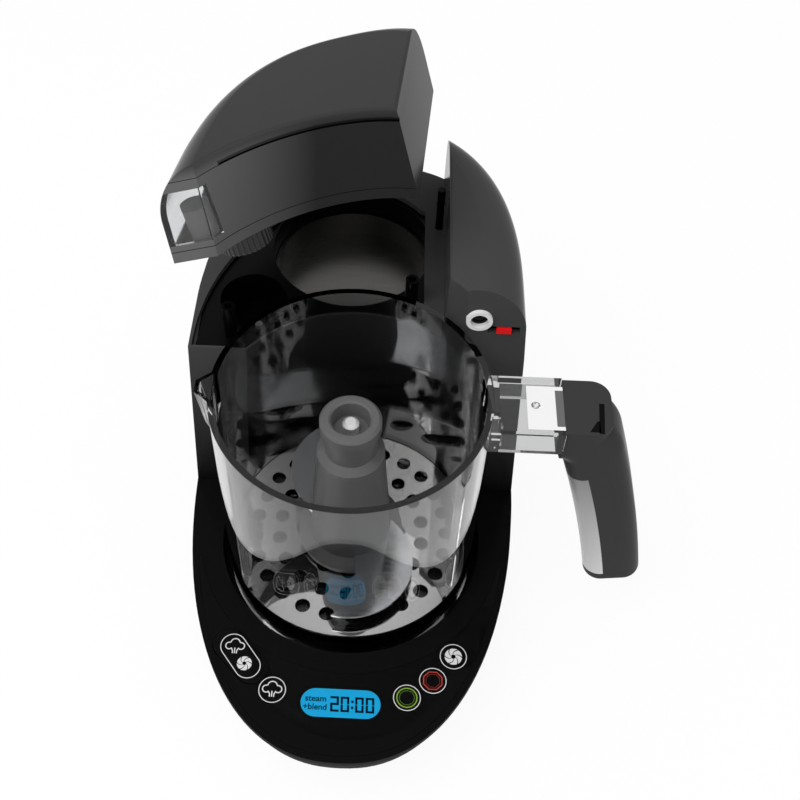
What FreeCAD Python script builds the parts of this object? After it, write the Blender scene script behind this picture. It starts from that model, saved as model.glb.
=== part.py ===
"""Baby food maker: an egg-shaped base, a clear bowl with a blade, and a lift-out water tank.

Millimetres, +Z up, +Y to the back, +X to the handle. The pieces are drawn about the bowl's axis
with the table at z = 0, then the whole object is moved so that the origin is under its middle.
"""
import FreeCAD
import Part
import Sketcher
import math
import os
import re

Vector = FreeCAD.Vector

SIZES = [
    ("side_margin", 22.3, "bowl to the base's side at the widest place"),
    ("front_margin", 59.2, "bowl to the base's front tip"),
    ("egg_back", 122.0, "rear end of the base's straight sides to its back"),
    ("nose_fullness", 2.27, "fullness of the outline's front end, of which an ellipse has 2"),
    ("tail_fullness", 2.5, "fullness of the outline's rear end"),
    ("shell_wall", 3.0, "wall of the moulded casings"),
    ("hull_bottom", 3.0, "underside of the tray above the table, the feet's height"),
    ("lip_draft", 3.5, "housing's lip drawn in at its lower edge"),
    ("hull_inset", 3.0, "undercut below the lip"),
    ("hull_draft", 7.5, "further inset at the tray's underside"),
    ("hull_bend", 9.0, "height of the tray's slanting lower side"),
    ("lip_bottom", 24.0, "lower edge of the housing's lip"),
    ("panel_height", 40.0, "top of the control deck above the table"),
    ("deck_below_rim", 20.0, "tower deck below the bowl's rim"),
    ("tank_height", 43.0, "tank and tower cover above the deck"),
    ("deck_draft", 5.0, "inset of the tower at the deck"),
    ("top_draft", 8.0, "inset of the tower at its top, without the shoulder"),
    ("shoulder_drop", 23.0, "height of the tower's rounded shoulder"),
    ("shoulder_width", 24.0, "width of the tower's rounded shoulder"),
    ("top_round", 1.5, "rounded top edge of the cover and the tank"),
    ("wall_foot", 32.6, "tower's front wall behind the bowl axis, at the control deck"),
    ("wall_lean", 4.5, "degrees that the front wall leans back"),
    ("seat_front_rim", 1.2, "deck left in front of the tank seat"),
    ("seat_side_rim", 1.5, "deck left beside the tank seat at its widest"),
    ("seat_back", 108.0, "reach of the seat's opening behind the widest place"),
    ("seat_strip", 1.0, "tank's right face to the opening's right edge"),
    ("well_gap", 3.5, "bowl to the wall of its well"),
    ("well_floor", 28.0, "floor of the well above the table"),
    ("well_rim", 11.0, "well to the control panel"),
    ("cover_width", 43.6, "tower cover, across the widest place"),
    ("cover_strip", 9.2, "tower cover to the tank"),
    ("fit_gap", 0.3, "gap round a loose fit"),
    ("run_gap", 0.05, "radial gap of a turning fit"),
    ("bowl_radius", 64.5, "bowl outside radius"),
    ("bowl_wall", 3.0, "bowl wall"),
    ("bowl_rest", 1.0, "bowl foot above the well's floor"),
    ("bowl_skirt", 13.0, "bowl floor above its foot"),
    ("bowl_height", 133.0, "bowl foot to rim"),
    ("floor_thick", 3.0, "bowl floor"),
    ("ledge_height", 2.5, "ledge under the strainer plate"),
    ("ledge_width", 3.5, "width of that ledge"),
    ("plate_thick", 0.8, "strainer plate sheet"),
    ("plate_hole", 7.5, "hole in the strainer plate"),
    ("rib_depth", 3.0, "inner rib of the bowl"),
    ("rib_width", 2.2, "inner rib width"),
    ("rib_start", 8.0, "strainer plate to the ribs' foot"),
    ("rib_end", 15.5, "ribs' top below the rim"),
    ("spout_reach", 6.0, "spout beyond the bowl"),
    ("spout_width", 20.0, "spout width"),
    ("spout_drop", 22.0, "spout height"),
    ("spout_wall", 2.2, "spout wall"),
    ("bracket_reach", 31.5, "handle bracket beyond the bowl"),
    ("bracket_width", 33.0, "handle bracket width"),
    ("bracket_below_rim", 4.0, "top of the bracket below the rim"),
    ("bracket_drop", 14.0, "bracket height"),
    ("bracket_wall", 3.0, "bracket wall"),
    ("gusset_reach", 5.8, "gusset beyond the bowl"),
    ("gusset_width", 4.0, "gusset width"),
    ("grip_drop", 10.0, "centre line of the grip below the bracket's top"),
    ("grip_out", 12.0, "bracket's end to the corner of the grip's centre line"),
    ("grip_bend", 16.0, "bend radius of the grip's centre line"),
    ("grip_splay", 18.0, "degrees that the grip leans out at its top"),
    ("grip_curl", 7.0, "degrees that the grip curls back in toward its lower end"),
    ("grip_length", 121.0, "corner to lower end along the grip"),
    ("grip_deep", 29.0, "grip size toward the bowl"),
    ("grip_wide", 31.0, "grip size round the bowl"),
    ("grip_round", 9.0, "corner radius of the grip"),
    ("head_out", 21.5, "bracket's end to the outer side of the grip's level head"),
    ("head_drop", 16.0, "height of the grip's level head"),
    ("head_round", 9.0, "outer corners of the grip's level head"),
    ("inlay_start", 13.0, "grip corner to the inlay's upper end"),
    ("inlay_length", 88.0, "inlay length"),
    ("inlay_reach", 10.0, "inlay's reach round the grip's inner corners"),
    ("inlay_deep", 2.5, "inlay thickness"),
    ("handle_screw_head", 2.8, "handle screw head radius"),
    ("handle_screw_shank", 1.5, "handle screw shank radius"),
    ("handle_screw_length", 6.0, "handle screw below its head"),
    ("spindle_radius", 4.0, "blade spindle and drive shaft"),
    ("hub_clear", 1.7, "blade hub above the strainer plate"),
    ("hub_flange", 27.0, "hub flange radius"),
    ("hub_flange_thick", 5.0, "hub flange"),
    ("hub_root", 21.0, "hub body radius at the flange"),
    ("hub_shoulder", 16.5, "hub shoulder radius"),
    ("hub_body", 68.0, "hub foot to shoulder"),
    ("hub_neck", 12.7, "hub neck radius"),
    ("hub_ring", 14.7, "hub top ring radius"),
    ("hub_height", 93.0, "hub foot to top"),
    ("hub_ring_height", 7.0, "height of the top ring"),
    ("hub_wall", 2.6, "hub wall"),
    ("hub_mouth", 9.4, "radius of the hub's open top"),
    ("hub_bore", 9.0, "depth of the hub's open top"),
    ("blade_clear", 6.5, "blade tips to the bowl's wall"),
    ("blade_thick", 1.4, "blade sheet"),
    ("blade_lift", 13.0, "upper blade above the lower one"),
    ("dog_radius", 10.0, "corner radius of the six-sided drive dog"),
    ("dog_clear", 3.0, "drive dog above the well's floor"),
    ("dog_height", 7.5, "drive dog height"),
    ("socket_wall", 4.5, "wall of the spindle socket"),
    ("pulley_radius", 28.0, "driven pulley"),
    ("motor_pulley_radius", 8.0, "motor pulley"),
    ("pulley_clear", 4.0, "pulleys above the tray's floor"),
    ("pulley_height", 8.0, "pulley height between its flanges"),
    ("belt_thick", 1.8, "belt thickness"),
    ("belt_gap", 0.05, "belt to pulley"),
    ("belt_margin", 1.0, "belt to the pulley's flanges"),
    ("motor_x", 10.0, "motor axis"),
    ("motor_before", 3.0, "motor axis before the boiler's"),
    ("motor_radius", 30.0, "motor can"),
    ("motor_rise", 10.0, "motor can above the pulleys"),
    ("motor_headroom", 4.9, "motor can to the thermostat"),
    ("motor_plate", 3.0, "motor bracket plate"),
    ("motor_leg", 4.0, "motor bracket leg radius"),
    ("motor_shaft_radius", 3.0, "motor shaft"),
    ("boiler_x", -5.0, "boiler axis"),
    ("boiler_back", 53.5, "boiler axis behind the bowl"),
    ("boiler_radius", 42.0, "boiler well inside radius"),
    ("boiler_wall", 2.5, "boiler well wall"),
    ("boiler_depth", 27.0, "boiler well depth below the seat"),
    ("dish_thick", 2.0, "boiler dish sheet"),
    ("dish_height", 17.0, "boiler dish"),
    ("seal_thick", 1.0, "boiler seal"),
    ("thermostat_height", 6.0, "thermostat"),
    ("thermostat_radius", 9.0, "thermostat"),
    ("element_radius", 3.5, "heating element rod"),
    ("seat_thick", 3.0, "tank seat plate"),
    ("socket_inset", 32.8, "tank valve inside the base's widest place"),
    ("socket_back", 13.5, "tank valve behind the bowl"),
    ("basin_depth", 21.0, "basin depth below the seat"),
    ("basin_gap", 3.6, "tank cap to the basin"),
    ("basin_wall", 1.6, "basin wall"),
    ("valve_pin_height", 2.6, "pin that opens the tank valve"),
    ("valve_pin_radius", 2.0, "pin that opens the tank valve"),
    ("post_radius", 3.3, "hollow guide post"),
    ("post_height", 20.0, "guide post"),
    ("post_gap", 1.2, "guide post to its pocket"),
    ("slip_margin", 1.15, "room for the tank's slanting way out, over its way at the start"),
    ("post_inset", 24.8, "left guide post inside the base's widest place"),
    ("left_post_before", 11.5, "left guide post before the bowl's back"),
    ("right_post_inset", 7.5, "right guide post inside the tank's right face"),
    ("right_post_clear", 12.0, "right guide post beyond the well"),
    ("back_post_inset", 2.8, "back post beside the tower cover"),
    ("back_post_back", 14.0, "back post behind the boiler's axis"),
    ("back_post_radius", 2.0, "back post"),
    ("back_post_rise", 9.0, "back post above the guide posts"),
    ("cross_pin_radius", 0.8, "cross pin of the back post"),
    ("tank_front_gap", 1.0, "tank's hollow front behind the well's wall"),
    ("tank_gap", 0.4, "tank to tower"),
    ("tank_ledge", 5.0, "ledge of the deck beside the tank"),
    ("tank_wall", 2.5, "tank wall"),
    ("tank_bottom_thick", 5.0, "tank's bottom band"),
    ("tank_lid_thick", 6.0, "tank's top"),
    ("groove_height", 1.8, "finger groove under the tank's top"),
    ("groove_deep", 1.4, "finger groove"),
    ("groove_left", -45.0, "left end of the finger groove"),
    ("window_right", -51.0, "right edge of the level window"),
    ("window_back", 95.0, "back edge of the level window"),
    ("window_low", 3.0, "frame below the window"),
    ("window_high", 4.5, "frame above the window"),
    ("neck_radius", 10.4, "tank neck"),
    ("neck_wall", 2.0, "tank neck wall"),
    ("neck_drop", 12.0, "tank neck length"),
    ("collar_drop", 5.0, "smooth collar above the cap"),
    ("cap_wall", 2.6, "tank cap with its ribs"),
    ("cap_rib", 0.9, "radius of the cap's ribs"),
    ("cap_floor", 2.0, "tank cap floor"),
    ("cap_room", 1.2, "cap floor to the neck, for the gasket"),
    ("plunger_radius", 2.4, "valve plunger stem"),
    ("plunger_flange", 3.0, "valve flange beyond the stem"),
    ("spring_pitch", 1.9, "valve spring"),
    ("spring_wire", 0.4, "valve spring wire radius"),
    ("spring_gap", 1.6, "spring's middle to the stem"),
    ("cage_height", 14.0, "valve cage"),
    ("hinge_x", -238.6, "line that the tank swings about, beside the base"),
    ("hinge_y", 100.0, "a point of that line"),
    ("hinge_height", 163.5, "a point of that line"),
    ("hinge_heading", 51.0, "degrees of the line from +X toward +Y"),
    ("hinge_rise", 4.98, "degrees that the line rises"),
    ("tank_lift", 20.55, "degrees that the tank is swung out of its seat"),
    ("overlay_inset", 3.5, "outer edge of the control panel inside the lip"),
    ("overlay_back", -16.0, "back ends of the control panel"),
    ("overlay_thick", 1.5, "control panel sheet"),
    ("overlay_gap", 0.15, "gap round the control panel"),
    ("key_radius", 6.7, "round key"),
    ("wide_key_radius", 8.0, "end radius of the long key"),
    ("key_height", 2.5, "key cap height"),
    ("key_proud", 0.4, "key above the panel"),
    ("key_travel", 0.8, "key travel"),
    ("key_stem", 2.0, "key stem radius"),
    ("stem_drop", 2.0, "key stem below the deck's wall"),
    ("switch_width", 6.0, "key switch"),
    ("switch_gap", 0.2, "key stem to its switch at the end of its travel"),
    ("steam_key_turn", -20.6, "degrees round the bowl from the front"),
    ("steam_key_out", 16.4, "outward from the panel's inner edge"),
    ("start_key_turn", 19.5, "degrees round the bowl from the front"),
    ("start_key_out", 16.5, "outward from the panel's inner edge"),
    ("stop_key_turn", 28.8, "degrees round the bowl from the front"),
    ("stop_key_out", 13.0, "outward from the panel's inner edge"),
    ("blend_key_turn", 38.9, "degrees round the bowl from the front"),
    ("blend_key_out", 7.6, "outward from the panel's inner edge"),
    ("long_key_back_turn", -41.0, "degrees round the bowl from the front"),
    ("long_key_back_out", 8.5, "outward from the panel's inner edge"),
    ("long_key_front_turn", -29.5, "degrees round the bowl from the front"),
    ("long_key_front_out", 11.5, "outward from the panel's inner edge"),
    ("display_out", 15.4, "middle of the display from the panel's inner edge"),
    ("display_length", 39.7, "display window length"),
    ("display_height", 17.7, "display window height"),
    ("lcd_border", 3.0, "display module beyond its window"),
    ("lcd_thick", 4.0, "display module"),
    ("lcd_gap", 0.2, "display module to the deck"),
    ("board_drop", 13.0, "control board below the deck"),
    ("board_inset", 9.0, "control board inside the lip"),
    ("board_back", 58.0, "control board in front of the bowl axis"),
    ("board_thick", 1.6, "circuit boards"),
    ("foot_radius", 9.0, "rubber foot"),
    ("foot_inset", 39.7, "feet inside the widest place"),
    ("foot_front", 103.0, "front feet before the widest place"),
    ("foot_back", 90.0, "back feet behind the widest place"),
    ("screw_place", 40.0, "tray screws from the bowl axis"),
    ("screw_radius", 1.5, "tray screw shank"),
    ("boss_radius", 4.5, "screw boss"),
    ("vent_count", 6, "slots of the tray's vent"),
    ("vent_pitch", 9.0, "step between the slots"),
    ("vent_length", 14.0, "slot length"),
    ("vent_radius", 2.0, "half width of a slot"),
    ("port_inset", 14.8, "steam port beside the cover's left face"),
    ("port_rise", 5.0, "steam port above the bowl's rim"),
    ("port_radius", 6.2, "steam port ring"),
    ("port_bore", 4.2, "bore of the steam port ring"),
    ("port_length", 9.0, "steam port ring"),
    ("port_proud", 1.4, "steam port ring in front of the wall"),
    ("tube_radius", 3.4, "steam tube"),
    ("tube_bore", 2.4, "steam tube bore"),
    ("tube_bend", 9.0, "steam tube bend"),
    ("tube_drop", 14.0, "steam tube below the tank seat"),
    ("riser_back", 27.5, "upright run of the steam tube behind the bowl"),
    ("tab_inset", 26.8, "interlock tab beside the cover's left face"),
    ("tab_below_port", 6.0, "interlock tab below the steam port"),
    ("tab_width", 7.0, "interlock tab"),
    ("tab_thick", 3.0, "interlock tab"),
    ("tab_length", 9.0, "interlock tab"),
    ("tab_proud", 1.2, "interlock tab in front of the wall"),
    ("tab_travel", 2.5, "interlock tab's way in"),
    ("slot_width", 15.0, "interlock slot"),
    ("slot_gap", 0.6, "interlock tab to its slot"),
    ("switch_length", 18.0, "interlock switch"),
    ("switch_height", 12.0, "interlock switch"),
    ("power_board_inset", 24.8, "power board inside the widest place"),
    ("power_board_before", 6.5, "power board's front edge before the bowl's back"),
    ("power_board_length", 48.0, "power board"),
    ("power_board_rise", 34.0, "power board above the table"),
    ("power_board_height", 70.0, "power board"),
    ("choke_size", 22.0, "choke on the power board"),
    ("choke_deep", 16.0, "choke on the power board"),
    ("relay_size", 19.0, "relay on the power board"),
    ("relay_deep", 8.0, "relay on the power board"),
    ("capacitor_radius", 7.0, "larger capacitor on the power board"),
    ("capacitor_length", 14.0, "larger capacitor on the power board"),
    ("component_gap", 4.0, "components to the power board's edges"),
    ("inlet_x", -25.0, "cord grommet"),
    ("inlet_radius", 5.4, "cord grommet"),
    ("inlet_height", 32.0, "cord grommet above the table"),
    ("inlet_flange", 2.0, "grommet's flange beyond its sleeve"),
    ("inlet_proud", 3.6, "grommet's flange behind the casing"),
    ("inlet_length", 6.0, "grommet's flange"),
]
FOLLOWING = [
    ("egg_half_width", "bowl_radius + side_margin", "half width of the base at its widest"),
    ("egg_mid", "bowl_radius * 0.7", "bowl axis to the front end of the base's straight sides"),
    ("egg_rear", "bowl_radius", "bowl axis to the rear end of the base's straight sides"),
    ("egg_front", "egg_mid + bowl_radius + front_margin", "front end of the straight sides to the front tip"),
    ("plate_pitch", "bowl_radius * 0.195", "radial step between the strainer's rings of holes"),
    ("boiler_y", "bowl_radius + boiler_back", "boiler axis behind the bowl axis"),
    ("motor_y", "boiler_y - motor_before", "motor axis behind the bowl axis"),
    ("socket_y", "bowl_radius + socket_back", "tank valve behind the bowl axis"),
    ("left_post_y", "bowl_radius - left_post_before", "left guide post behind the bowl axis"),
    ("back_post_y", "boiler_y + back_post_back", "back post behind the bowl axis"),
    ("riser_y", "bowl_radius + riser_back", "upright run of the steam tube behind the bowl axis"),
    ("power_board_y", "bowl_radius - power_board_before", "power board's front edge behind the bowl axis"),
    ("well_radius", "bowl_radius + well_gap", "round well that the bowl stands in"),
    ("overlay_radius", "well_radius + well_rim", "inner edge of the control panel"),
    ("bowl_foot", "well_floor + bowl_rest", "bowl foot above the table"),
    ("bowl_floor", "bowl_foot + bowl_skirt", "underside of the bowl's floor"),
    ("rim_height", "bowl_foot + bowl_height", "bowl rim above the table"),
    ("plate_bottom", "bowl_floor + floor_thick + ledge_height", "underside of the strainer plate"),
    ("hub_foot", "plate_bottom + plate_thick + hub_clear", "underside of the blade hub"),
    ("hub_top", "hub_foot + hub_height", "hub top above the table"),
    ("hub_shoulder_height", "hub_foot + hub_body", "hub shoulder above the table"),
    ("blade_tip", "bowl_radius - bowl_wall - blade_clear", "blade tip radius"),
    ("dog_bottom", "well_floor + dog_clear", "underside of the drive dog"),
    ("socket_radius", "dog_radius + socket_wall", "outside of the spindle socket"),
    ("deck_height", "rim_height - deck_below_rim", "top of the tower where the tank sits"),
    ("tower_top", "deck_height + tank_height", "top of the tower cover and of the seated tank"),
    ("cover_left", "egg_half_width - cover_width", "left face of the tower cover"),
    ("tank_right", "cover_left - cover_strip", "right face of the tank"),
    ("tank_front_radius", "well_radius + tank_front_gap", "hollow front of the tank"),
    ("bracket_top", "rim_height - bracket_below_rim", "top of the bracket"),
    ("bracket_end", "bowl_radius + bracket_reach", "outer end of the handle bracket"),
    ("screw_x", "(bracket_end + bowl_radius) / 2 + bracket_wall", "handle screw in the bracket"),
    ("grip_height", "bracket_top - grip_drop", "centre line of the grip at the bracket"),
    ("grip_corner", "bracket_end + grip_out", "corner of the grip's centre line"),
    ("pulley_bottom", "hull_bottom + shell_wall + pulley_clear", "underside of the pulleys"),
    ("motor_bottom", "pulley_bottom + pulley_height + motor_rise", "underside of the motor can"),
    ("dish_bottom", "deck_height - shell_wall - boiler_depth - dish_thick - seal_thick - 0.1", "boiler dish"),
    ("motor_top", "dish_bottom - thermostat_height - motor_headroom", "top of the motor can"),
    ("socket_x", "socket_inset - egg_half_width", "tank valve in its basin"),
    ("cap_radius", "neck_radius + cap_wall", "tank cap"),
    ("cap_height", "neck_drop + cap_floor + cap_room - collar_drop - fit_gap", "tank cap"),
    ("left_post_x", "post_inset - egg_half_width", "left guide post"),
    ("right_post_x", "tank_right - right_post_inset", "right guide post"),
    ("right_post_y", "sqrt((well_radius + right_post_clear) ^ 2 - right_post_x ^ 2)", "right guide post"),
    ("back_post_x", "cover_left - back_post_inset", "back post"),
    ("display_y", "-overlay_radius - display_out", "middle of the display"),
    ("board_bottom", "panel_height - board_drop", "underside of the control board"),
    ("foot_x", "egg_half_width - foot_inset", "feet from the middle"),
    ("port_x", "cover_left + port_inset", "steam port"),
    ("port_height", "rim_height + port_rise", "steam port above the table"),
    ("tab_x", "cover_left + tab_inset", "interlock tab"),
    ("tab_height", "port_height - tab_below_port", "interlock tab above the table"),
    ("power_board_x", "egg_half_width - power_board_inset", "power board"),
]
# The shoulder stops short of lying flat at the top, and is drawn through this many steps
SHOULDER_TURN = 0.97
SHOULDER_STEPS = 6
# Each rounded end of the base's outline is drawn through this many steps
END_STEPS = 24

FUNCTIONS = {"sqrt", "tan", "sin", "cos"}
FOLLOWERS = {alias for alias, formula, note in FOLLOWING}
# Longer than the whole object, for cutting blocks and bars
REACH = 500.0


def sheet_name(match):
    """A size's name with the sheet that holds it put before it."""
    word = match.group(0)
    if word in FUNCTIONS:
        return word
    return ("follow." if word in FOLLOWERS else "sizes.") + word


document = FreeCAD.newDocument("baby_food_maker")
sheet = document.addObject("Spreadsheet::Sheet", "sizes")
for row, (alias, value, note) in enumerate(SIZES, start=1):
    sheet.set(f"A{row}", alias)
    sheet.set(f"B{row}", str(value))
    sheet.setAlias(f"B{row}", alias)
    sheet.set(f"C{row}", note)
document.recompute()
follow = document.addObject("Spreadsheet::Sheet", "follow")
for row, (alias, formula, note) in enumerate(FOLLOWING, start=1):
    follow.set(f"A{row}", alias)
    follow.set(f"B{row}", "=" + re.sub(r"[a-z]\w*", sheet_name, formula))
    follow.setAlias(f"B{row}", alias)
    follow.set(f"C{row}", note)
    document.recompute()

parts = {}
raised = []


def size(alias):
    return float((follow if alias in FOLLOWERS else sheet).get(alias))


def expression(text):
    """A formula in plain size names, with each sheet's name put before its own."""
    return re.sub(r"[a-z]\w*", sheet_name, text)


def bind(thing, **formulas):
    for name, text in formulas.items():
        thing.setExpression(name.replace("__", "."), expression(text))
    return thing


def cylinder(name, radius, height, x="0", y="0", z="0"):
    made = document.addObject("Part::Cylinder", name)
    return bind(made, Radius=radius, Height=height,
                Placement__Base__x=x, Placement__Base__y=y, Placement__Base__z=z)


def box(name, length, width, height, x="0", y="0", z="0"):
    made = document.addObject("Part::Box", name)
    return bind(made, Length=length, Width=width, Height=height,
                Placement__Base__x=x, Placement__Base__y=y, Placement__Base__z=z)


def hexagon(name, corner, height, x="0", y="0", z="0"):
    made = document.addObject("Part::Prism", name)
    made.Polygon = 6
    return bind(made, Circumradius=corner, Height=height,
                Placement__Base__x=x, Placement__Base__y=y, Placement__Base__z=z)


def keep(label, thing, lifted=False):
    thing.Label = label
    parts[label] = thing
    if lifted:
        raised.append(label)
    return thing


def cut(name, base, tools):
    if len(tools) > 1:
        tool = fuse(name + "_tools", tools)
    else:
        tool = tools[0]
    made = document.addObject("Part::Cut", name)
    made.Base = base
    made.Tool = tool
    return made


def fuse(name, things):
    made = document.addObject("Part::MultiFuse", name)
    made.Shapes = things
    return made


def group(name, things):
    made = document.addObject("Part::Compound", name)
    made.Links = things
    return made


def shaped(name, shape):
    made = document.addObject("Part::Feature", name)
    made.Shape = shape
    return made


def turned(name, points, x="0", y="0"):
    """A body of revolution about a vertical axis: points are radius and height formulas."""
    body = document.addObject("PartDesign::Body", name)
    plane = [f for f in body.Origin.OriginFeatures if f.Role == "XZ_Plane"][0]
    sketch = body.newObject("Sketcher::SketchObject", name + "_profile")
    sketch.AttachmentSupport = [(plane, "")]
    sketch.MapMode = "FlatFace"
    values = [(evaluate(radius), evaluate(height)) for radius, height in points]
    count = len(points)
    for index in range(count):
        start = Vector(*values[index], 0)
        end = Vector(*values[(index + 1) % count], 0)
        sketch.addGeometry(Part.LineSegment(start, end), False)
    for index in range(count):
        sketch.addConstraint(Sketcher.Constraint("Coincident", index, 2, (index + 1) % count, 1))
    for index, (radius, height) in enumerate(points):
        if values[index][0] == 0:
            sketch.addConstraint(Sketcher.Constraint("PointOnObject", index, 1, -2))
        else:
            across = Sketcher.Constraint("DistanceX", -1, 1, index, 1, values[index][0])
            place = sketch.addConstraint(across)
            sketch.setExpression(f"Constraints[{place}]", expression(radius))
        upward = Sketcher.Constraint("DistanceY", -1, 1, index, 1, values[index][1])
        place = sketch.addConstraint(upward)
        sketch.setExpression(f"Constraints[{place}]", expression(height))
    revolution = body.newObject("PartDesign::Revolution", name + "_turned")
    revolution.Profile = sketch
    revolution.ReferenceAxis = (sketch, ["V_Axis"])
    revolution.Angle = 360
    return bind(body, Placement__Base__x=x, Placement__Base__y=y)


def evaluate(text):
    """The value of a plain formula of size names, by way of a helper cell."""
    probe = f"D{evaluate.row}"
    evaluate.row += 1
    follow.set(probe, "=" + expression(text))
    follow.recompute()
    return float(follow.get(probe))


evaluate.row = 1


def egg_end(half, reach, middle, height, fullness):
    """One rounded end of the outline, from its side at +half or -half round to the other side."""
    power = 2 / fullness
    points = []
    for step in range(END_STEPS + 1):
        turn = math.pi * step / END_STEPS
        across = math.copysign(abs(math.cos(turn)) ** power, math.cos(turn))
        along = abs(math.sin(turn)) ** power
        points.append(Vector(half * across, middle + reach * along, height))
    onward = Vector(0, math.copysign(1, reach), 0)
    curve = Part.BSplineCurve()
    curve.interpolate(Points=points, InitialTangent=onward, FinalTangent=onward * -1)
    return curve.toShape()


def egg_wire(inset, height, narrow=0):
    """The base's plan outline, drawn in by an inset, at a height: full ends joined by straight sides."""
    half = size("egg_half_width") - inset - narrow
    mid = size("egg_mid")
    rear = size("egg_rear")
    nose = egg_end(-half, inset - size("egg_front"), mid, height, size("nose_fullness"))
    tail = egg_end(half, size("egg_back") - inset, rear, height, size("tail_fullness"))
    right = Part.makeLine(Vector(half, mid, height), Vector(half, rear, height))
    left = Part.makeLine(Vector(-half, rear, height), Vector(-half, mid, height))
    return Part.Wire([nose, right, tail, left])


def egg(*levels):
    """A solid through the outline at each (inset, height) or (inset, height, narrowing)."""
    return Part.makeLoft([egg_wire(*level) for level in levels], True, True)


def behind_wall(gap):
    """Everything behind the tower's leaning front wall, moved back by a gap."""
    pivot = Vector(0, size("wall_foot") + gap, size("panel_height"))
    half_space = Part.makeBox(2 * REACH, REACH, 2 * REACH, pivot + Vector(-REACH, 0, -REACH))
    half_space.rotate(pivot, Vector(1, 0, 0), -size("wall_lean"))
    return half_space


def wall_at(height):
    return size("wall_foot") + (height - size("panel_height")) * math.tan(math.radians(size("wall_lean")))


def tower_inset(height, shrink):
    """How far the tower's outside is drawn in at a height: a draft, then a rounded shoulder."""
    share = (height - size("deck_height")) / size("tank_height")
    inset = size("deck_draft") + (size("top_draft") - size("deck_draft")) * share
    rise = 1 - (size("tower_top") - height) / size("shoulder_drop")
    if rise > 0:
        inset += size("shoulder_width") * (1 - math.sqrt(1 - SHOULDER_TURN * rise ** 2))
    return inset + shrink


def tower_solid(shrink, bottom, top, narrow=0):
    """The tower's outline between two heights: straight up to the shoulder, then a smooth loft."""
    start = size("tower_top") - size("shoulder_drop")
    pieces = []
    if bottom < start:
        middle = min(top, start)
        pieces.append(egg((tower_inset(bottom, shrink), bottom, narrow),
                          (tower_inset(middle, shrink), middle, narrow)))
    if top > start:
        low = max(bottom, start)
        heights = [low + (top - low) * math.sin(math.pi / 2 * step / SHOULDER_STEPS)
                   for step in range(SHOULDER_STEPS + 1)]
        wires = [egg_wire(tower_inset(height, shrink), height, narrow) for height in heights]
        pieces.append(Part.makeLoft(wires, True, False))
    whole = pieces[0]
    for piece in pieces[1:]:
        whole = whole.fuse(piece)
    return whole.removeSplitter()


def round_bar(radius, bottom, top, x=0.0, y=0.0):
    return Part.makeCylinder(radius, top - bottom, Vector(x, y, bottom))


def block(x0, x1, y0, y1, z0, z1):
    return Part.makeBox(x1 - x0, y1 - y0, z1 - z0, Vector(x0, y0, z0))


def long_bar(x0, y0, x1, y1, radius, bottom, top):
    """An upright bar with a straight-sided, round-ended section."""
    run = Vector(x1 - x0, y1 - y0, 0)
    side = Vector(-run.y, run.x, 0).normalize() * radius
    onward = Vector(run).normalize() * radius
    first = Vector(x0, y0, bottom)
    second = Vector(x1, y1, bottom)
    edges = [
        Part.makeLine(first - side, second - side),
        Part.Arc(second - side, second + onward, second + side).toShape(),
        Part.makeLine(second + side, first + side),
        Part.Arc(first + side, first - onward, first - side).toShape(),
    ]
    return Part.Face(Part.Wire(edges)).extrude(Vector(0, 0, top - bottom))


def pipe(points, bend, radius):
    """A round bar along straight runs joined by bends of one radius."""
    edges = []
    start = points[0]
    for before, corner, after in zip(points, points[1:], points[2:]):
        back = (before - corner).normalize()
        onward = (after - corner).normalize()
        half = back.getAngle(onward) / 2
        reach = bend / math.tan(half)
        middle = (back + onward).normalize()
        centre = corner + middle * (bend / math.sin(half))
        edges.append(Part.makeLine(start, corner + back * reach))
        bend_end = corner + onward * reach
        edges.append(Part.Arc(corner + back * reach, centre - middle * bend, bend_end).toShape())
        start = bend_end
    edges.append(Part.makeLine(start, points[-1]))
    heading = points[1] - points[0]
    profile = Part.Wire([Part.Circle(points[0], heading, radius).toShape()])
    return Part.Wire(edges).makePipeShell([profile], True, False)


# Places shared by several pieces
wall = size("shell_wall")
deck = size("deck_height")
panel = size("panel_height")
gap = size("fit_gap")
seat_top = deck - wall - gap / 3
seat_bottom = seat_top - size("seat_thick")
post_top = seat_top + size("post_height")
socket = Vector(size("socket_x"), size("socket_y"), 0)
heading = math.radians(size("hinge_heading"))
rise = math.radians(size("hinge_rise"))
axis = Vector(math.cos(heading) * math.cos(rise), math.sin(heading) * math.cos(rise), math.sin(rise))
hinge = Vector(size("hinge_x"), size("hinge_y"), size("hinge_height"))


def slip(place, climb):
    """How far a place on the tank's foot goes sideways while the swinging tank climbs out of its seat."""
    way = (place + Vector(0, 0, deck) - hinge).cross(axis)
    return Vector(way.x, way.y, 0) * (climb / way.z * size("slip_margin"))


back_post_top = post_top + size("back_post_rise")
POSTS = [
    Vector(size("left_post_x"), size("left_post_y"), 0),
    Vector(size("right_post_x"), size("right_post_y"), 0),
]
back_post = Vector(size("back_post_x"), size("back_post_y"), 0)


def on_panel(name):
    """A place on the control panel: a turn about the bowl, and how far out from the panel's inner edge."""
    turn = math.radians(size(name + "_turn"))
    reach = size("overlay_radius") + size(name + "_out")
    return Vector(math.sin(turn) * reach, -math.cos(turn) * reach, 0)


KEYS = {name: on_panel(name) for name in ("steam_key", "start_key", "stop_key", "blend_key")}
LONG_KEY = (on_panel("long_key_back"), on_panel("long_key_front"))
FEET = [Vector(x * size("foot_x"), size("egg_mid") + y, 0)
        for y in (-size("foot_front"), size("foot_back")) for x in (-1, 1)]
SCREWS = [Vector(x, y, 0) * size("screw_place") for x in (-1, 1) for y in (-1, 1)]


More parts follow.
